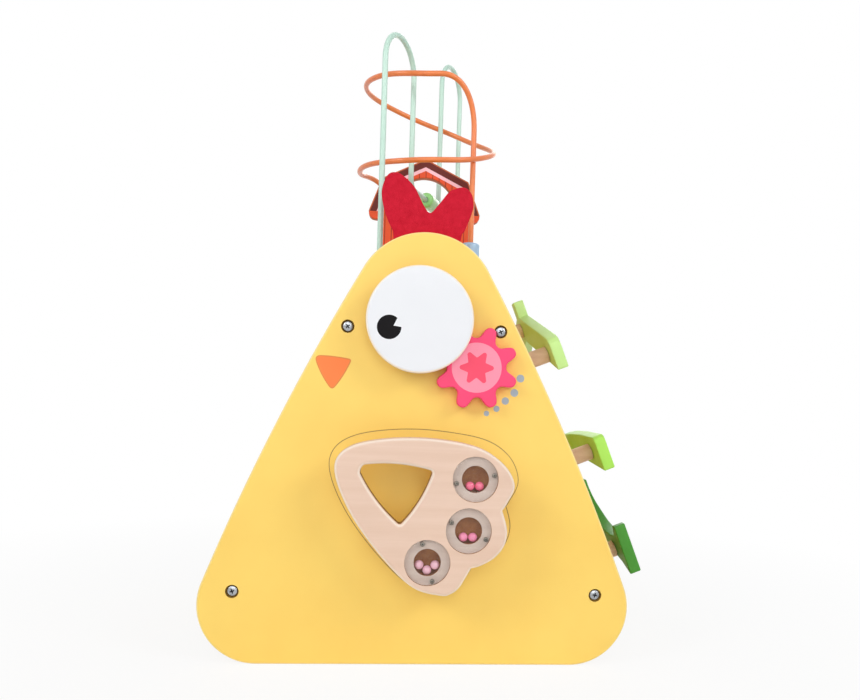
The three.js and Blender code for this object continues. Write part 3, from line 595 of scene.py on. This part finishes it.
def turned(name, profile, materials, place, steps=48):
    """A turned piece: a profile of radius and height in millimetres, revolved about Z and then placed."""
    bm = bmesh.new()
    turns = stepped(2 * pi, steps)[:-1]
    rings = [
        [bm.verts.new((radius * cos(t), radius * sin(t), height)) for t in turns]
        if radius > 1e-6 else [bm.verts.new((0, 0, height))] for radius, height in profile
    ]
    bored = len(rings[0]) > 1 and len(rings[-1]) > 1
    for lower, upper in zip(rings, rings[1:] + rings[:1] if bored else rings[1:]):
        band(bm, lower, upper)
    bm.transform(place)
    return finish_mesh(bm, name, materials)


def plated_steel(name, colours, rough):
    """Zinc-plated steel with faint turning marks."""
    material, tree, shader = new_material(name)
    feed(tree, shader, {
        "Metallic": 1,
        "Base Color": between(tree, noise(tree, scale=500, detail=3), colours),
        "Roughness": spread(tree, noise(tree, scale=1200), *rough),
        "Normal": relief(tree, noise(tree, scale=4000), strength=0.15, depth=0.0001),
    })
    return material


screw_steel = plated_steel("screw_steel", (0x8d9196, 0xb9bdc1), (0.2, 0.34))
# The cross recesses take a near-black steel, which paints the shade inside them.
recess_painted_shade = plated_steel("recess_painted_shade", (0x2c2d2f, 0x424447), (0.4, 0.5))
head_radius = 4.7
head_height = 2.4
head_fullness = 0.6
head_sink = 0.3
shank_radius = 2
screw_length = 30
point_length = 4
head_profile = [(0, head_height)] + [
    (head_radius * sin(t), head_height * cos(t) ** head_fullness)
    for t in map(radians, range(10, 91, 10))
]
head_profile += [(shank_radius, 0), (shank_radius, point_length - screw_length), (0, -screw_length)]


def cut_cross(piece, place, arm, width, depth, top):
    """Cuts a tapered cross recess into a screw head; its walls take the piece's second material, the
    recess's painted shade.
    """
    overrun = 1
    foot_share = 0.45
    bm = bmesh.new()
    for turn in (radians(25), radians(115)):
        corners = []
        for height, share in ((top + overrun, 1), (top - depth, foot_share)):
            for sx, sy in ((-1, -1), (1, -1), (1, 1), (-1, 1)):
                x, y = sx * arm / 2 * share, sy * width / 2 * (0.6 + 0.4 * share)
                corners.append(bm.verts.new((
                    x * cos(turn) - y * sin(turn), x * sin(turn) + y * cos(turn), height,
                )))
        for face in ((0, 1, 2, 3), (4, 5, 6, 7), (0, 1, 5, 4), (1, 2, 6, 5), (2, 3, 7, 6), (3, 0, 4, 7)):
            bm.faces.new([corners[k] for k in face]).material_index = 1
    bm.transform(place)
    cutter = finish_mesh(bm, "cross_cutter", [])
    carve = piece.modifiers.new("cross", "BOOLEAN")
    carve.object = cutter
    carve.solver = "EXACT"
    carve.use_self = True
    carved = bpy.data.meshes.new_from_object(piece.evaluated_get(bpy.context.evaluated_depsgraph_get()))
    piece.modifiers.clear()
    piece.data = carved
    carved.set_sharp_from_angle(angle=sharp_edge)
    bpy.data.objects.remove(cutter)


def seat_at(x, y, z, tilt=90):
    """A place whose own Z is tilted from upright, by 90 degrees to face the front."""
    return Matrix.Translation((x, y, z)) @ Matrix.Rotation(radians(tilt), 4, "X")


for side, face, way in (("front", front_face, 1), ("back", back_face, -1)):
    for x, z in screw_places:
        height = "lower" if z == lower_screw[1] else "upper"
        node = f"{side}_screw_{height}_{'left' if x < 0 else 'right'}"
        driven_to = x + z
        seat = seat_at(x, face + way * (counterbore_depth - head_sink), z, 90 * way)
        seat = seat @ Matrix.Rotation(driven_to, 4, "Z")
        screw = turned(f"pan_head_{node}", head_profile, [screw_steel, recess_painted_shade], seat, 32)
        cut_cross(screw, seat, arm=5, width=1.2, depth=1.7, top=head_height)
        fit("box", node, screw)

# --------------------
# Eye and the gear behind it.
# A white disc of board with a printed pupil, glued on a pink gear wheel of eight teeth. The child turns
# it by hand, and its hidden gear drives the one beside it.

eye_centre = Vector((-4.6, 287))
eye_radius = 43.6
eye_thickness = 9.5
eye_rounding = 2.2
eye_gap = 0.3
gear_gap = 1.5
gear_thickness = 9
gear_rounding = 1
gear_back = front_face - gear_gap
gear_face = gear_back - gear_thickness
eye_back = gear_face - eye_gap
# The white paint turns cream on the arrises, a painted highlight for the yellow they reflect.
white_paint = sprayed_paint(
    "white_paint", (0xe4e6ea, 0xe8eaee), rough=(0.3, 0.38), peel=0.04, arris_highlight=0xfff1de,
)
black_ink = sprayed_paint("black_ink", (0x0c0b0d, 0x141214), rough=(0.5, 0.58), peel=0.04, specular=0.1)
pink_paint = sprayed_paint("pink_paint", (0xf84072, 0xfb4879), rough=(0.38, 0.46), peel=0.06)

pupil_centre = eye_centre + Vector((-24.7, -7.3))
pupil_radius = 9.8
pupil_start, pupil_end = 49, 362
pupil_notch = pupil_centre + Vector((3.4, 1.2))
pupil = arc(pupil_centre, pupil_radius, pupil_start, pupil_end, 60) + [pupil_notch]
fit("eye", "eye_disc", board(
    "eye_white_disc", circle(eye_centre, eye_radius, 128), eye_back - eye_thickness, eye_back,
    eye_rounding, [white_paint, black_ink], prints=[[(pupil, 1)]], rings=8,
))

teeth = 8
gear_module = 7.58
gear_pitch = gear_module * teeth / 2
tooth_depth = 10.4
tooth_steps = 24
tooth_squareness = 1.4
tooth_thinning = 0.1
inside_pitch = 0.57
mesh_direction = radians(-38)
side_gear_phase = radians(24.6)
gear_centre = eye_centre + Vector((cos(mesh_direction), sin(mesh_direction))) * 2 * gear_pitch


def gear_outline(centre, phase):
    """Round teeth: the radius swings about a circle just inside the pitch circle."""
    highest = tanh(tooth_squareness * (1 - tooth_thinning))
    lowest = tanh(-tooth_squareness * (1 + tooth_thinning))
    points = []
    for turn in stepped(2 * pi, teeth * tooth_steps)[:-1]:
        wave = tanh(tooth_squareness * (cos(teeth * turn) - tooth_thinning))
        swing = (wave - lowest) / (highest - lowest)
        radius = gear_pitch - inside_pitch + tooth_depth * (swing - 0.5)
        points.append(centre + Vector((cos(phase + turn), sin(phase + turn))) * radius)
    return points


mesh_arc = (side_gear_phase - mesh_direction - pi) * gear_pitch + gear_module * pi / 2
eye_gear_phase = mesh_direction - mesh_arc / gear_pitch
fit("eye", "eye_gear", board(
    "eye_gear_wheel", gear_outline(eye_centre, eye_gear_phase), gear_face, gear_back, gear_rounding,
    [pink_paint], rings=3,
))

# --------------------
# Gear wheel beside the eye.
# Eight round teeth cut from 9 mm board, sprayed hot pink, with a printed pale disc and a star.
# It meshes with the gear behind the eye, and its shaft runs through the panel to a keeper.

pale_disc_radius = 20.6
star_points = 6
star_shape = ((-30, 8.2), (-6.5, 13.6), (0, 14.3), (6.5, 13.6))
star = []
for k in range(star_points):
    for turn, radius in star_shape:
        angle = radians(360 / star_points * k + turn)
        star.append(gear_centre + Vector((cos(angle), sin(angle))) * radius)
star = round_corners(star, 0.9, steps=3, sharpest=10)
light_pink_ink = sprayed_paint("light_pink_ink", (0xfb90a8, 0xfe97ae), rough=(0.38, 0.46), peel=0.05)
star_ink = sprayed_paint("star_ink", (0xf84868, 0xfb4f6e), rough=(0.38, 0.46), peel=0.05)
fit("gear", "side_gear", board(
    "star_gear_wheel", gear_outline(gear_centre, side_gear_phase), gear_face, gear_back, gear_rounding,
    [pink_paint, light_pink_ink, star_ink],
    prints=[[(circle(gear_centre, pale_disc_radius, 72), 1), (star, 2)]], rings=3,
))

# --------------------
# Shafts and keepers.
# Beech dowels and turned discs, glued on from inside the box. They stay as packed, in bare beech.


def beech(name, colours, along, rough=(0.5, 0.62), fleck=0.3, arris_highlight=None):
    """Sanded beech or lime: long faint bands along the grain, short flecks, a fine pore relief, and
    perhaps a painted highlight on its arrises.
    """
    material, tree, shader = new_material(name)
    band_scale = [6 if axis == along else 160 for axis in "xyz"]
    pore_scale = [90 if axis == along else 1500 for axis in "xyz"]
    bands = noise(tree, scale=1, detail=4, stretch=band_scale, distortion=0.4)
    flecks = noise(tree, scale=1, detail=3, stretch=pore_scale, roughness=0.6)
    tone = between(tree, blend(tree, fleck, bands, flecks, "FLOAT"), colours, 0.36, 0.64)
    feed(tree, shader, {
        "Base Color": painted_arris_highlight(tree, tone, arris_highlight) if arris_highlight else tone,
        "Roughness": spread(tree, flecks, *rough),
        "Normal": relief(tree, flecks, strength=0.12, depth=0.0003),
        "Specular IOR Level": 0.35,
    })
    return material


bare_beech = beech("bare_beech", (0xc49c76, 0xdcb993), along="y")
dress(("eye_gear_shaft", "side_gear_shaft", "wing_shaft"), bare_beech)
dress(("eye_gear_keeper", "side_gear_keeper", "wing_keeper"), bare_beech)

# --------------------
# Wing.
# A 15 mm board of pale lime wood, sanded and lacquered, with well rounded arrises, a hand hole, and
# three rebates bored for the rattle windows. It swings on a dowel with a turned spacer behind it.

wing_gap = 18
wing_thickness = 15
wing_rounding = 3.2
wing_back = front_face - wing_gap
wing_front = wing_back - wing_thickness
# The lime wood turns paler on its arrises, a painted highlight.
pale_wood = beech(
    "pale_wood", (0xe2c3ae, 0xe8cbb8), along="x", rough=(0.46, 0.56), fleck=0.21, arris_highlight=0xf6e5d6,
)
# The bored chambers take a dark brown: wood with the shade inside them painted in.
chamber_wood_painted_shade = beech("chamber_wood_painted_shade", (0x935a2c, 0xad7440), along="y", rough=(0.6, 0.7))
# The rebate floors under the panes are wood made greyer and darker than the face, painted shade under the
# panes.
rebate_wood_painted_shade = beech("rebate_wood_painted_shade", (0xccb6aa, 0xd4c0b4), along="x", rough=(0.5, 0.6), fleck=0.21)
# The hand hole's wall takes a dark brown, painted shade on a wall turned away from the light.
hole_wall_painted_shade = beech("hole_wall_painted_shade", (0x84602e, 0x97713c), along="x", rough=(0.6, 0.7))

hole_left, hole_low = -48.6, 122.3
hole_width, hole_height = 57.6, 49.5
hole_side_shares = [
    ((0.506, 1.032), (0.949, 0.897)), ((1, 0.881), (0.984, 0.822)), ((0.855, 0.375), (0.597, 0.042)),
    ((0.564, 0), (0.527, 0.037)), ((0.196, 0.377), (0, 0.822)), ((0.005, 0.95), (0.075, 0.962)),
]
hole_steps = 12


def hole_point(share):
    return Vector((hole_left + share[0] * hole_width, hole_low + share[1] * hole_height))


hand_hole = []
start = hole_point(hole_side_shares[-1][1])
for shares in hole_side_shares:
    control, end = map(hole_point, shares)
    hand_hole += [bent(start, control, end, t) for t in stepped(1, hole_steps)[:-1]]
    start = end

window_centres = {"top": (43, 160.2), "middle": (38.8, 119), "bottom": (6.6, 93.2)}
window_radius = 18
window_thickness = 2.4
window_gap = 0.3
chamber_radius = 10.8
chamber_depth = 8.4
# The wing's finishes: wood, the chambers' painted shade, the rebates' painted shade and the hand hole
# wall's painted shade.
wood, bored, rebate_shade, hole_wall_shade = range(4)
fit("wing", "wing_board", board(
    "wing_board_lime", wing_outline(), wing_front, wing_back, wing_rounding,
    [pale_wood, chamber_wood_painted_shade, rebate_wood_painted_shade, hole_wall_painted_shade], holes=[hand_hole], rings=7, hole_wall=hole_wall_shade,
    recesses=[
        {
            "loop": circle(centre, window_radius + window_gap, 72),
            "depth": window_thickness + window_gap, "wall": bored, "floor": rebate_shade,
            "recesses": [{
                "loop": circle(centre, chamber_radius, 64), "depth": chamber_depth,
                "wall": bored, "floor": bored,
            }],
        }
        for centre in window_centres.values()
    ],
))


def barrel(bore, radius, low, high, rounding, steps=5):
    """The profile of a turned barrel with rounded ends, round a bore."""
    inner = radius - rounding
    return (
        [(bore, low)] + arc((inner, low + rounding), rounding, -90, 0, steps)
        + arc((inner, high - rounding), rounding, 0, 90, steps) + [(bore, high)]
    )


wing_pivot = (8.6, 139)
spacer_bore = 6.3
spacer_radius = 8
spacer_gap = 0.3
spacer_rounding = 0.8
fit("box", "wing_hub", turned(
    "wing_spacer_ring",
    barrel(spacer_bore, spacer_radius, spacer_gap - front_face, -wing_back - spacer_gap, spacer_rounding),
    [bare_beech], seat_at(wing_pivot[0], 0, wing_pivot[1]),
))

# --------------------
# Rattle windows.
# Clear acrylic discs let in flush and held by two small screws each, over bored chambers that hold
# two or three round wooden beads.


def clear_acrylic(name):
    """Clear acrylic that lets lamp light through to the chamber behind it."""
    material, tree, shader = new_material(name)
    feed(tree, shader, {
        "Transmission Weight": 1,
        "IOR": 1.3,
        "Base Color": between(tree, noise(tree, scale=60), (0xfafbfb, 0xfefefe)),
        "Roughness": spread(tree, noise(tree, scale=300), 0.01, 0.05),
    })
    path = add_node(tree, "LightPath").outputs
    passing = calculate(tree, "MAXIMUM", path["Is Shadow Ray"], path["Is Diffuse Ray"])
    open_way = add_node(tree, "BsdfTransparent", Color=linear(0xfbfcfc))
    surface = add_node(tree, "MixShader", passing, shader.outputs[0], open_way.outputs[0])
    feed(tree, tree.nodes["Material Output"], {"Surface": surface.outputs[0]})
    return material


def gloss_paint(name, colours):
    """Dipped gloss paint on a small turned bead."""
    return sprayed_paint(name, colours, rough=(0.22, 0.3), peel=0.05, gloss=0.4)


acrylic = clear_acrylic("clear_acrylic")
dull_steel = plated_steel("dull_steel", (0x6f6a62, 0x8b857b), (0.35, 0.5))
back_rounding, front_rounding = 0.3, 0.7
pane_profile = (
    [(0, 0)] + arc((window_radius - back_rounding, back_rounding), back_rounding, -90, 0, 3)
    + arc((window_radius - front_rounding, window_thickness - front_rounding), front_rounding, 0, 90, 4)
    + [(0, window_thickness)]
)
small_head_radius = 1.9
small_head_height = 1
small_head_rounding = 0.5
small_shank_radius = 1
small_screw_length = 7
small_screw = [(0, small_head_height)] + arc(
    (small_head_radius - small_head_rounding, small_head_height - small_head_rounding),
    small_head_rounding, 90, 0, 4,
) + [(small_head_radius, 0), (small_shank_radius, 0)]
small_screw += [(small_shank_radius, -small_screw_length), (0, -small_screw_length)]
small_head_sink = 0.9
small_screw_circle = 15.3
bead_radius = 3.6
bead_play = 0.3
ball = [(bead_radius * sin(t), -bead_radius * cos(t)) for t in stepped(pi, 16)]
orbit = chamber_radius - bead_radius - bead_play
bead_spacing = 2 * asin((bead_radius + bead_play / 2) / orbit)
chamber_middle = wing_front + window_thickness + window_gap + chamber_depth / 2

for label, first_screw, beads, colours, finish in (
    ("top", 13, 2, (0xff6088, 0xff7a9c), "hot_pink_bead"),
    ("middle", 155, 2, (0xfa8ab2, 0xfd9dc0), "pink_bead"),
    ("bottom", 106, 3, (0xf3bccc, 0xf8cbd8), "pale_pink_bead"),
):
    x, z = window_centres[label]
    seat = seat_at(x, wing_front + window_thickness, z)
    fit("wing", f"{label}_window", turned(
        f"{label}_clear_window", pane_profile, [acrylic], seat, 72,
    ))
    for number, turn in ((1, first_screw), (2, first_screw + 180)):
        angle = radians(turn)
        seat = seat_at(
            x + small_screw_circle * cos(angle), wing_front + small_head_sink,
            z + small_screw_circle * sin(angle),
        )
        screw = turned(
            f"{label}_window_pan_screw_{number}", small_screw, [dull_steel, recess_painted_shade], seat, 24,
        )
        cut_cross(screw, seat, arm=2.3, width=0.5, depth=0.6, top=small_head_height)
        fit("wing", f"{label}_window_screw_{number}", screw)
    bead_paint = gloss_paint(f"{finish}_paint", colours)
    for index in range(beads):
        turn = (index - (beads - 1) / 2) * bead_spacing
        place = Matrix.Translation((x + orbit * sin(turn), chamber_middle, z - orbit * cos(turn)))
        fit(f"{label}_rattle", f"{label}_rattle_bead_{index + 1}", turned(
            f"{label}_rattle_ball_{index + 1}", ball, [bead_paint], place, 32,
        ))

# --------------------
# Comb.
# Two lobes cut from 3 mm red wool felt, glued to the back of the front panel by its foot.

comb_left = -39.4
comb_width = 77.7
comb_top = 412.2
comb_foot = 321.7
comb_front, comb_back = 6.35, 9.25
comb_rounding = 0.7
comb_foot_shares = (0.8, 0.2)
comb_lobe_shares = [
    (0.133, -0.636), (0.039, -0.431), (0, -0.208), (0.058, -0.036), (0.145, 0), (0.228, -0.035),
    (0.353, -0.149), (0.456, -0.338), (0.53, -0.42), (0.618, -0.329), (0.727, -0.187),
    (0.79, -0.151), (0.871, -0.127), (0.937, -0.147), (0.981, -0.206), (1, -0.295),
    (0.991, -0.385), (0.919, -0.583), (0.884, -0.633),
]


def wool_felt(name, colours):
    """Pressed wool felt: mottled, matt, with a short nap that catches light at its edges."""
    material, tree, shader = new_material(name)
    clouds = noise(tree, scale=160, detail=5, roughness=0.7)
    hairs = noise(tree, scale=2200, detail=4, stretch=(1, 1, 0.4), roughness=0.7)
    feed(tree, shader, {
        "Base Color": between(tree, blend(tree, 0.45, clouds, hairs, "FLOAT"), colours, 0.35, 0.65),
        "Roughness": 0.95,
        "Sheen Weight": 0.16,
        "Sheen Roughness": 0.5,
        "Sheen Tint": linear(0xff5a68),
        "Specular IOR Level": 0.15,
        "Normal": relief(tree, hairs, strength=0.6, depth=0.0006),
    })
    return material


comb_outline = [Vector((comb_left + share * comb_width, comb_foot)) for share in comb_foot_shares]
comb_outline += spline_through([
    Vector((comb_left + x * comb_width, comb_top + z * comb_width)) for x, z in comb_lobe_shares
], 8)
red_felt = wool_felt("red_felt", (0xbc142a, 0xd8253c))
comb = board("felt_comb", comb_outline, comb_front, comb_back, comb_rounding, [red_felt], rings=4)
fit("box", "comb", comb)

# --------------------
# Barn.
# A 9 mm board sawn to a barn's outline with an arched door, sprayed orange-red and printed with
# planks, a dark roof and a pale trim. Its foot stands in a groove of the platform.

mid_y = 124
barn_half = 4.5
barn_rounding = 0.7
barn_corner = 1
barn_half_outline = [Vector(p) for p in (
    (45, 317.3), (45, 395.8), (47.4, 395.8), (50.8, 396.3), (53.1, 397.9), (54.4, 400.4), (54.8, 404),
    (42.6, 436.5), (0, 457.1),
)]
roof_eave, roof_knee, roof_peak = (p * mm for p in barn_half_outline[-3:])
roof_print_width = 0.02
fascia_share, trim_share, wall_share = 0.065, 0.365, 0.53
plank_width = 0.0065
plank_joint_share = 0.12
eave_height = 0.4035
wall_half_width = 0.0452


def barn_print(name):
    """Roof bands by the distance in from the roof's two slopes, and planks with dark joints below."""
    fascia, roof, trim, boards, joints = 0xc8683f, 0x68261f, 0xffc6cf, 0xe6562f, 0x9c3422
    material = sprayed_paint(name, (boards, 0xec5e36), rough=(0.42, 0.5), peel=0.06, specular=0.2)
    tree = material.node_tree
    shader = tree.nodes["Principled BSDF"]
    wall = shader.inputs["Base Color"].links[0].from_socket
    place = add_node(tree, "TexCoord").outputs["Object"]
    folded = add_node(tree, "VectorMath", place, operation="ABSOLUTE").outputs[0]
    depths = []
    for upper, lower in ((roof_peak, roof_knee), (roof_knee, roof_eave)):
        along = (lower - upper).normalized()
        inward = Vector((along.y, -along.x))
        reach = add_node(tree, "VectorMath", folded, (inward.x, 0, inward.y), operation="DOT_PRODUCT")
        depths.append(calculate(tree, "SUBTRACT", reach.outputs["Value"], inward.dot(upper)))
    nearest = calculate(tree, "MINIMUM", *depths)
    share = spread(tree, nearest, 0, 1, 0, roof_print_width)
    bands = add_node(tree, "ValToRGB", share)
    bands.color_ramp.interpolation = "CONSTANT"
    stops = bands.color_ramp.elements
    stops.remove(stops[1])
    stops[0].color = linear(fascia)
    for position, colour in ((fascia_share, roof), (trim_share, trim), (wall_share, boards)):
        stops.new(position).color = linear(colour)
    sides = add_node(tree, "SeparateXYZ", place).outputs
    plank_place = calculate(tree, "FRACT", calculate(tree, "DIVIDE", sides["X"], plank_width))
    joint = calculate(tree, "LESS_THAN", plank_place, plank_joint_share)
    planks = blend(tree, joint, wall, linear(joints))
    below_trim = calculate(tree, "GREATER_THAN", share, wall_share)
    face = blend(tree, below_trim, bands.outputs[0], planks)
    below_eaves = calculate(tree, "LESS_THAN", sides["Z"], eave_height)
    from_middle = add_node(tree, "SeparateXYZ", folded).outputs["X"]
    beyond_wall = calculate(tree, "GREATER_THAN", from_middle, wall_half_width)
    face = blend(tree, calculate(tree, "MULTIPLY", below_eaves, beyond_wall), face, wall)
    normal = add_node(tree, "NewGeometry").outputs["Normal"]
    flatness = calculate(tree, "ABSOLUTE", add_node(tree, "SeparateXYZ", normal).outputs["Y"])
    on_face = calculate(tree, "GREATER_THAN", flatness, 0.7)
    feed(tree, shader, {"Base Color": blend(tree, on_face, linear(fascia), face)})
    return material


barn_outline = barn_half_outline + [Vector((-p.x, p.y)) for p in reversed(barn_half_outline[:-1])]
door_half, door_foot, door_spring = 29.5, 334, 408.8
door = [Vector((door_half, door_foot)), *arc((0, door_spring), door_half, 0, 180, 48),
        Vector((-door_half, door_foot))]
fit("box", "barn", board(
    "barn_front_board", round_corners(barn_outline, barn_corner, steps=3, sharpest=25),
    mid_y - barn_half, mid_y + barn_half, barn_rounding, [barn_print("barn_paint")],
    holes=[round_corners(door, barn_corner, steps=3, sharpest=25)], rings=3,
))

# --------------------
# Maze wires.
# Two 5 mm steel rods, bent cold and powder coated, with their four ends pressed into the platform:
# a mint one in two humps and a level dip, and an orange one that winds once and a half round a ring.

wire_radius = 2.5
wire_foot = 312


def powder_coat(name, colours):
    """Smooth powder coat with a soft gloss."""
    material = sprayed_paint(name, colours, rough=(0.3, 0.38), peel=0.08, specular=0.5, gloss=0.25)
    material.node_tree.nodes["Principled BSDF"].inputs["Coat Roughness"].default_value = 0.2
    return material


def rod(name, path, material, sides=20):
    """A round wire along a path in millimetres, with both its ends let down into the platform."""
    path = [Vector((*path[0].xy, wire_foot))] + path + [Vector((*path[-1].xy, wire_foot))]
    bm = bmesh.new()
    turns = stepped(2 * pi, sides)[:-1]
    rings = []
    for k, point in enumerate(path):
        tangent = (path[min(k + 1, len(path) - 1)] - path[max(k - 1, 0)]).normalized()
        if k:
            across = (across - tangent * across.dot(tangent)).normalized()
        else:
            across = tangent.orthogonal().normalized()
        other = tangent.cross(across)
        rings.append([
            bm.verts.new(point + (across * cos(t) + other * sin(t)) * wire_radius) for t in turns
        ])
    for lower, upper in zip(rings, rings[1:]):
        band(bm, lower, upper)
    bm.faces.new(rings[0][::-1])
    bm.faces.new(rings[-1])
    return finish_mesh(bm, name, [material])


mint_legs = [Vector((x, mid_y + y)) for x, y in ((-40.3, -95), (-14.7, -45), (15.3, 42), (38, 92))]
near_hump_top, far_hump_top = 545, 575.5
dip_low, dip_bend = 418, 10
hump_steps, bend_steps = 48, 16
dip_along = (mint_legs[2] - mint_legs[1]).normalized()


def hump(first, last, top):
    """Half a circle over from one leg to the next."""
    radius = (last - first).length / 2
    return [
        Vector((*first.lerp(last, (1 - cos(t)) / 2), top - radius + radius * sin(t)))
        for t in stepped(pi, hump_steps)
    ]


quarter_turns = stepped(pi / 2, bend_steps)


def dip_corner(leg, along):
    """A quarter circle from a leg into the level dip."""
    return [
        Vector((*(leg + along * dip_bend * (1 - cos(t))), dip_low + dip_bend * (1 - sin(t))))
        for t in quarter_turns
    ]


mint_path = hump(mint_legs[0], mint_legs[1], near_hump_top)
mint_path += dip_corner(mint_legs[1], dip_along) + dip_corner(mint_legs[2], -dip_along)[::-1]
mint_path += hump(mint_legs[2], mint_legs[3], far_hump_top)
fit("box", "mint_wire", rod(
    "mint_maze_wire", mint_path, powder_coat("mint_powder_coat", (0xb9dccb, 0xc6e4d6)),
))

ring_centre = Vector((2, mid_y - 9.3))
near_radius, far_radius = 60.8, 66.9
ring_high, ring_low = 522.1, 435.7
ring_start, ring_turn = radians(-48.7), radians(556)
near_bend, near_rise = radians(34.4), 49.9
far_bend, far_rise = radians(44), 52
ring_steps = 160
height_shares = [0.979, 0.913, 0.957, 1, 0.973, 0.806, 0.528, 0.272, 0.06, 0, 0.024, 0.068, 0.212]
fine_heights = [p.y for p in spline_through([Vector((0, share)) for share in height_shares], 40)]


def ring_point(turn, lowered=0):
    """A point of the orange wire, some way round its ring, and lowered where it bends into a leg."""
    way = turn / ring_turn
    place = way * (len(fine_heights) - 1)
    first = min(int(place), len(fine_heights) - 2)
    share = fine_heights[first] + (fine_heights[first + 1] - fine_heights[first]) * (place - first)
    radius = near_radius + (far_radius - near_radius) * way
    return Vector((
        ring_centre.x + radius * cos(ring_start - turn),
        ring_centre.y + radius * sin(ring_start - turn),
        ring_low + share * (ring_high - ring_low) - lowered,
    ))


ring_path = [ring_point(near_bend * (1 - cos(t)), near_rise * (1 - sin(t))) for t in quarter_turns]
between_bends = ring_turn - near_bend - far_bend
ring_path += [ring_point(near_bend + turn) for turn in stepped(between_bends, ring_steps)[1:-1]]
ring_path += [
    ring_point(ring_turn - far_bend * (1 - cos(t)), far_rise * (1 - sin(t)))
    for t in reversed(quarter_turns)
]
fit("box", "orange_wire", rod(
    "orange_maze_wire", ring_path, powder_coat("orange_powder_coat", (0xe8793a, 0xf08741)),
))

# --------------------
# Maze beads.
# Turned beech beads with rounded ends, dipped in paint: three on the orange wire's near leg and a
# long green one on the level dip of the mint wire.

maze_bead_rounding = 3
maze_bead_bore = wire_radius + 0.4
stack_gap = 0.3
low = 320.3
leg = Matrix.Translation((*ring_path[0].xy, 0))
for number, label, radius, length, colours, finish in (
    (1, "pink", 8.8, 16, (0xee7699, 0xf384a5), "rose_bead"),
    (2, "yellow", 8.8, 15, (0xf1ca4a, 0xf5d35c), "yellow_bead"),
    (3, "blue", 8.6, 15, (0xa3c6e4, 0xb0cfea), "blue_bead"),
):
    fit(f"bead_{number}", f"bead_{label}", turned(
        f"{label}_maze_bead", barrel(maze_bead_bore, radius, low, low + length, maze_bead_rounding, 8),
        [gloss_paint(f"{label}_dip_paint", colours)], leg,
    ))
    low += length + stack_gap

dip_bead_radius = 7.5
dip_bead_half = 14
dip_bead_share = 0.66
dip_turn = Vector((0, 0, 1)).rotation_difference(Vector((*dip_along, 0)))
dip_place = Matrix.Translation((*mint_legs[1].lerp(mint_legs[2], dip_bead_share), dip_low))
dip_place = dip_place @ dip_turn.to_matrix().to_4x4()
fit("dip_bead", "bead_green", turned(
    "green_maze_bead",
    barrel(maze_bead_bore, dip_bead_radius, -dip_bead_half, dip_bead_half, maze_bead_rounding, 8),
    [gloss_paint("green_dip_paint", (0x8fd87c, 0xa2e08f))], dip_place,
))

# --------------------
# Fir tree.
# Three 10 mm boards sawn as the tiers of a tree and sprayed in three greens. Each stands off the right
# side board on beech dowels, glued into both.

lean = atan2(lower_screw[0] - upper_screw[0], upper_screw[1] - lower_screw[1])
board_out = Vector((cos(lean), 0, sin(lean)))
board_up = Vector((-sin(lean), 0, cos(lean)))
side_board_half = 5
board_outer = lower_screw[0] * board_out.x + lower_screw[1] * board_out.z + side_board_half
on_board = Matrix.Translation(board_out * board_outer + Vector((0, mid_y, 0))) @ Matrix((
    (0, board_out.x, board_up.x, 0),
    (1, 0, 0, 0),
    (0, board_out.z, board_up.z, 0),
    (0, 0, 0, 1),
))
tree_height = 262.47
tier_end = 108
tier_thickness = 10
tier_rounding = 1
tier_corner = 1.5
dowel_radius = 7.4
dowel_rounding = 0.5
dowel_sunk = 4.7
dowel_gap = 0.3
top_half_shares = [
    (0, 0.848), (1, 0.72), (1, 0.798), (0.992, 0.814), (0.968, 0.827), (0.933, 0.835), (0.067, 0.939),
    (0.067, 1),
]
bottom_half_shares = [
    (0, 0.053), (0.6, 0.046), (0.84, 0.022), (1, -0.01), (1, 0.163), (0.93, 0.163), (0.86, 0.12),
    (0.7, 0.112), (0.533, 0.116), (0.398, 0.129), (0.317, 0.146), (0.234, 0.164), (0.14, 0.187),
    (0.085, 0.212), (0.055, 0.24), (0.055, 0.27),
]
middle_near_shares = [
    (0, 0.37), (0.93, 0.345), (0.93, 0.446), (0.917, 0.459), (0.884, 0.465), (0.42, 0.463), (0, 0.455),
]
middle_far_shares = [(0, 0.37), (0.93, 0.347), (0.93, 0.41), (0.6, 0.427), (0.35, 0.442), (0, 0.455)]
tiers = [
    ("top", (0xc2e98e, 0xcbef98), 34.5, top_half_shares, top_half_shares,
     [(0.78, 0.781), (0, 0.891), (-0.78, 0.781)], "light_green_paint"),
    ("middle", (0xa9e655, 0xb3ec62), 45, middle_near_shares, middle_far_shares,
     [(0.66, 0.408), (-0.66, 0.385)], "lime_paint"),
    ("bottom", (0x418e28, 0x4a9832), 34.5, bottom_half_shares, bottom_half_shares,
     [(0.72, 0.063), (-0.72, 0.063)], "dark_green_paint"),
]
dowel_beech = beech("dowel_beech", (0xe0b89e, 0xeecab2), along="x")
for label, colours, stand_off, near, far, dowel_shares, finish in tiers:
    outline = [Vector((-depth * tier_end, height * tree_height)) for depth, height in near]
    outline += [Vector((depth * tier_end, height * tree_height)) for depth, height in far[::-1]]
    fit("box", f"tree_{label}", board(
        f"{label}_tree_tier", round_corners(anticlockwise(outline), tier_corner, steps=4, sharpest=20),
        stand_off, stand_off + tier_thickness, tier_rounding,
        [sprayed_paint(f"{label}_tier_paint", colours)], rings=4, place=on_board,
    ))
    for number, (depth, height) in enumerate(dowel_shares, 1):
        seat = on_board @ seat_at(-depth * tier_end, -dowel_sunk, height * tree_height, -90)
        fit("box", f"tree_{label}_dowel_{number}", turned(
            f"{label}_tier_dowel_{number}",
            barrel(0, dowel_radius, 0, stand_off + dowel_sunk - dowel_gap, dowel_rounding, 3),
            [dowel_beech], seat, 40,
        ))
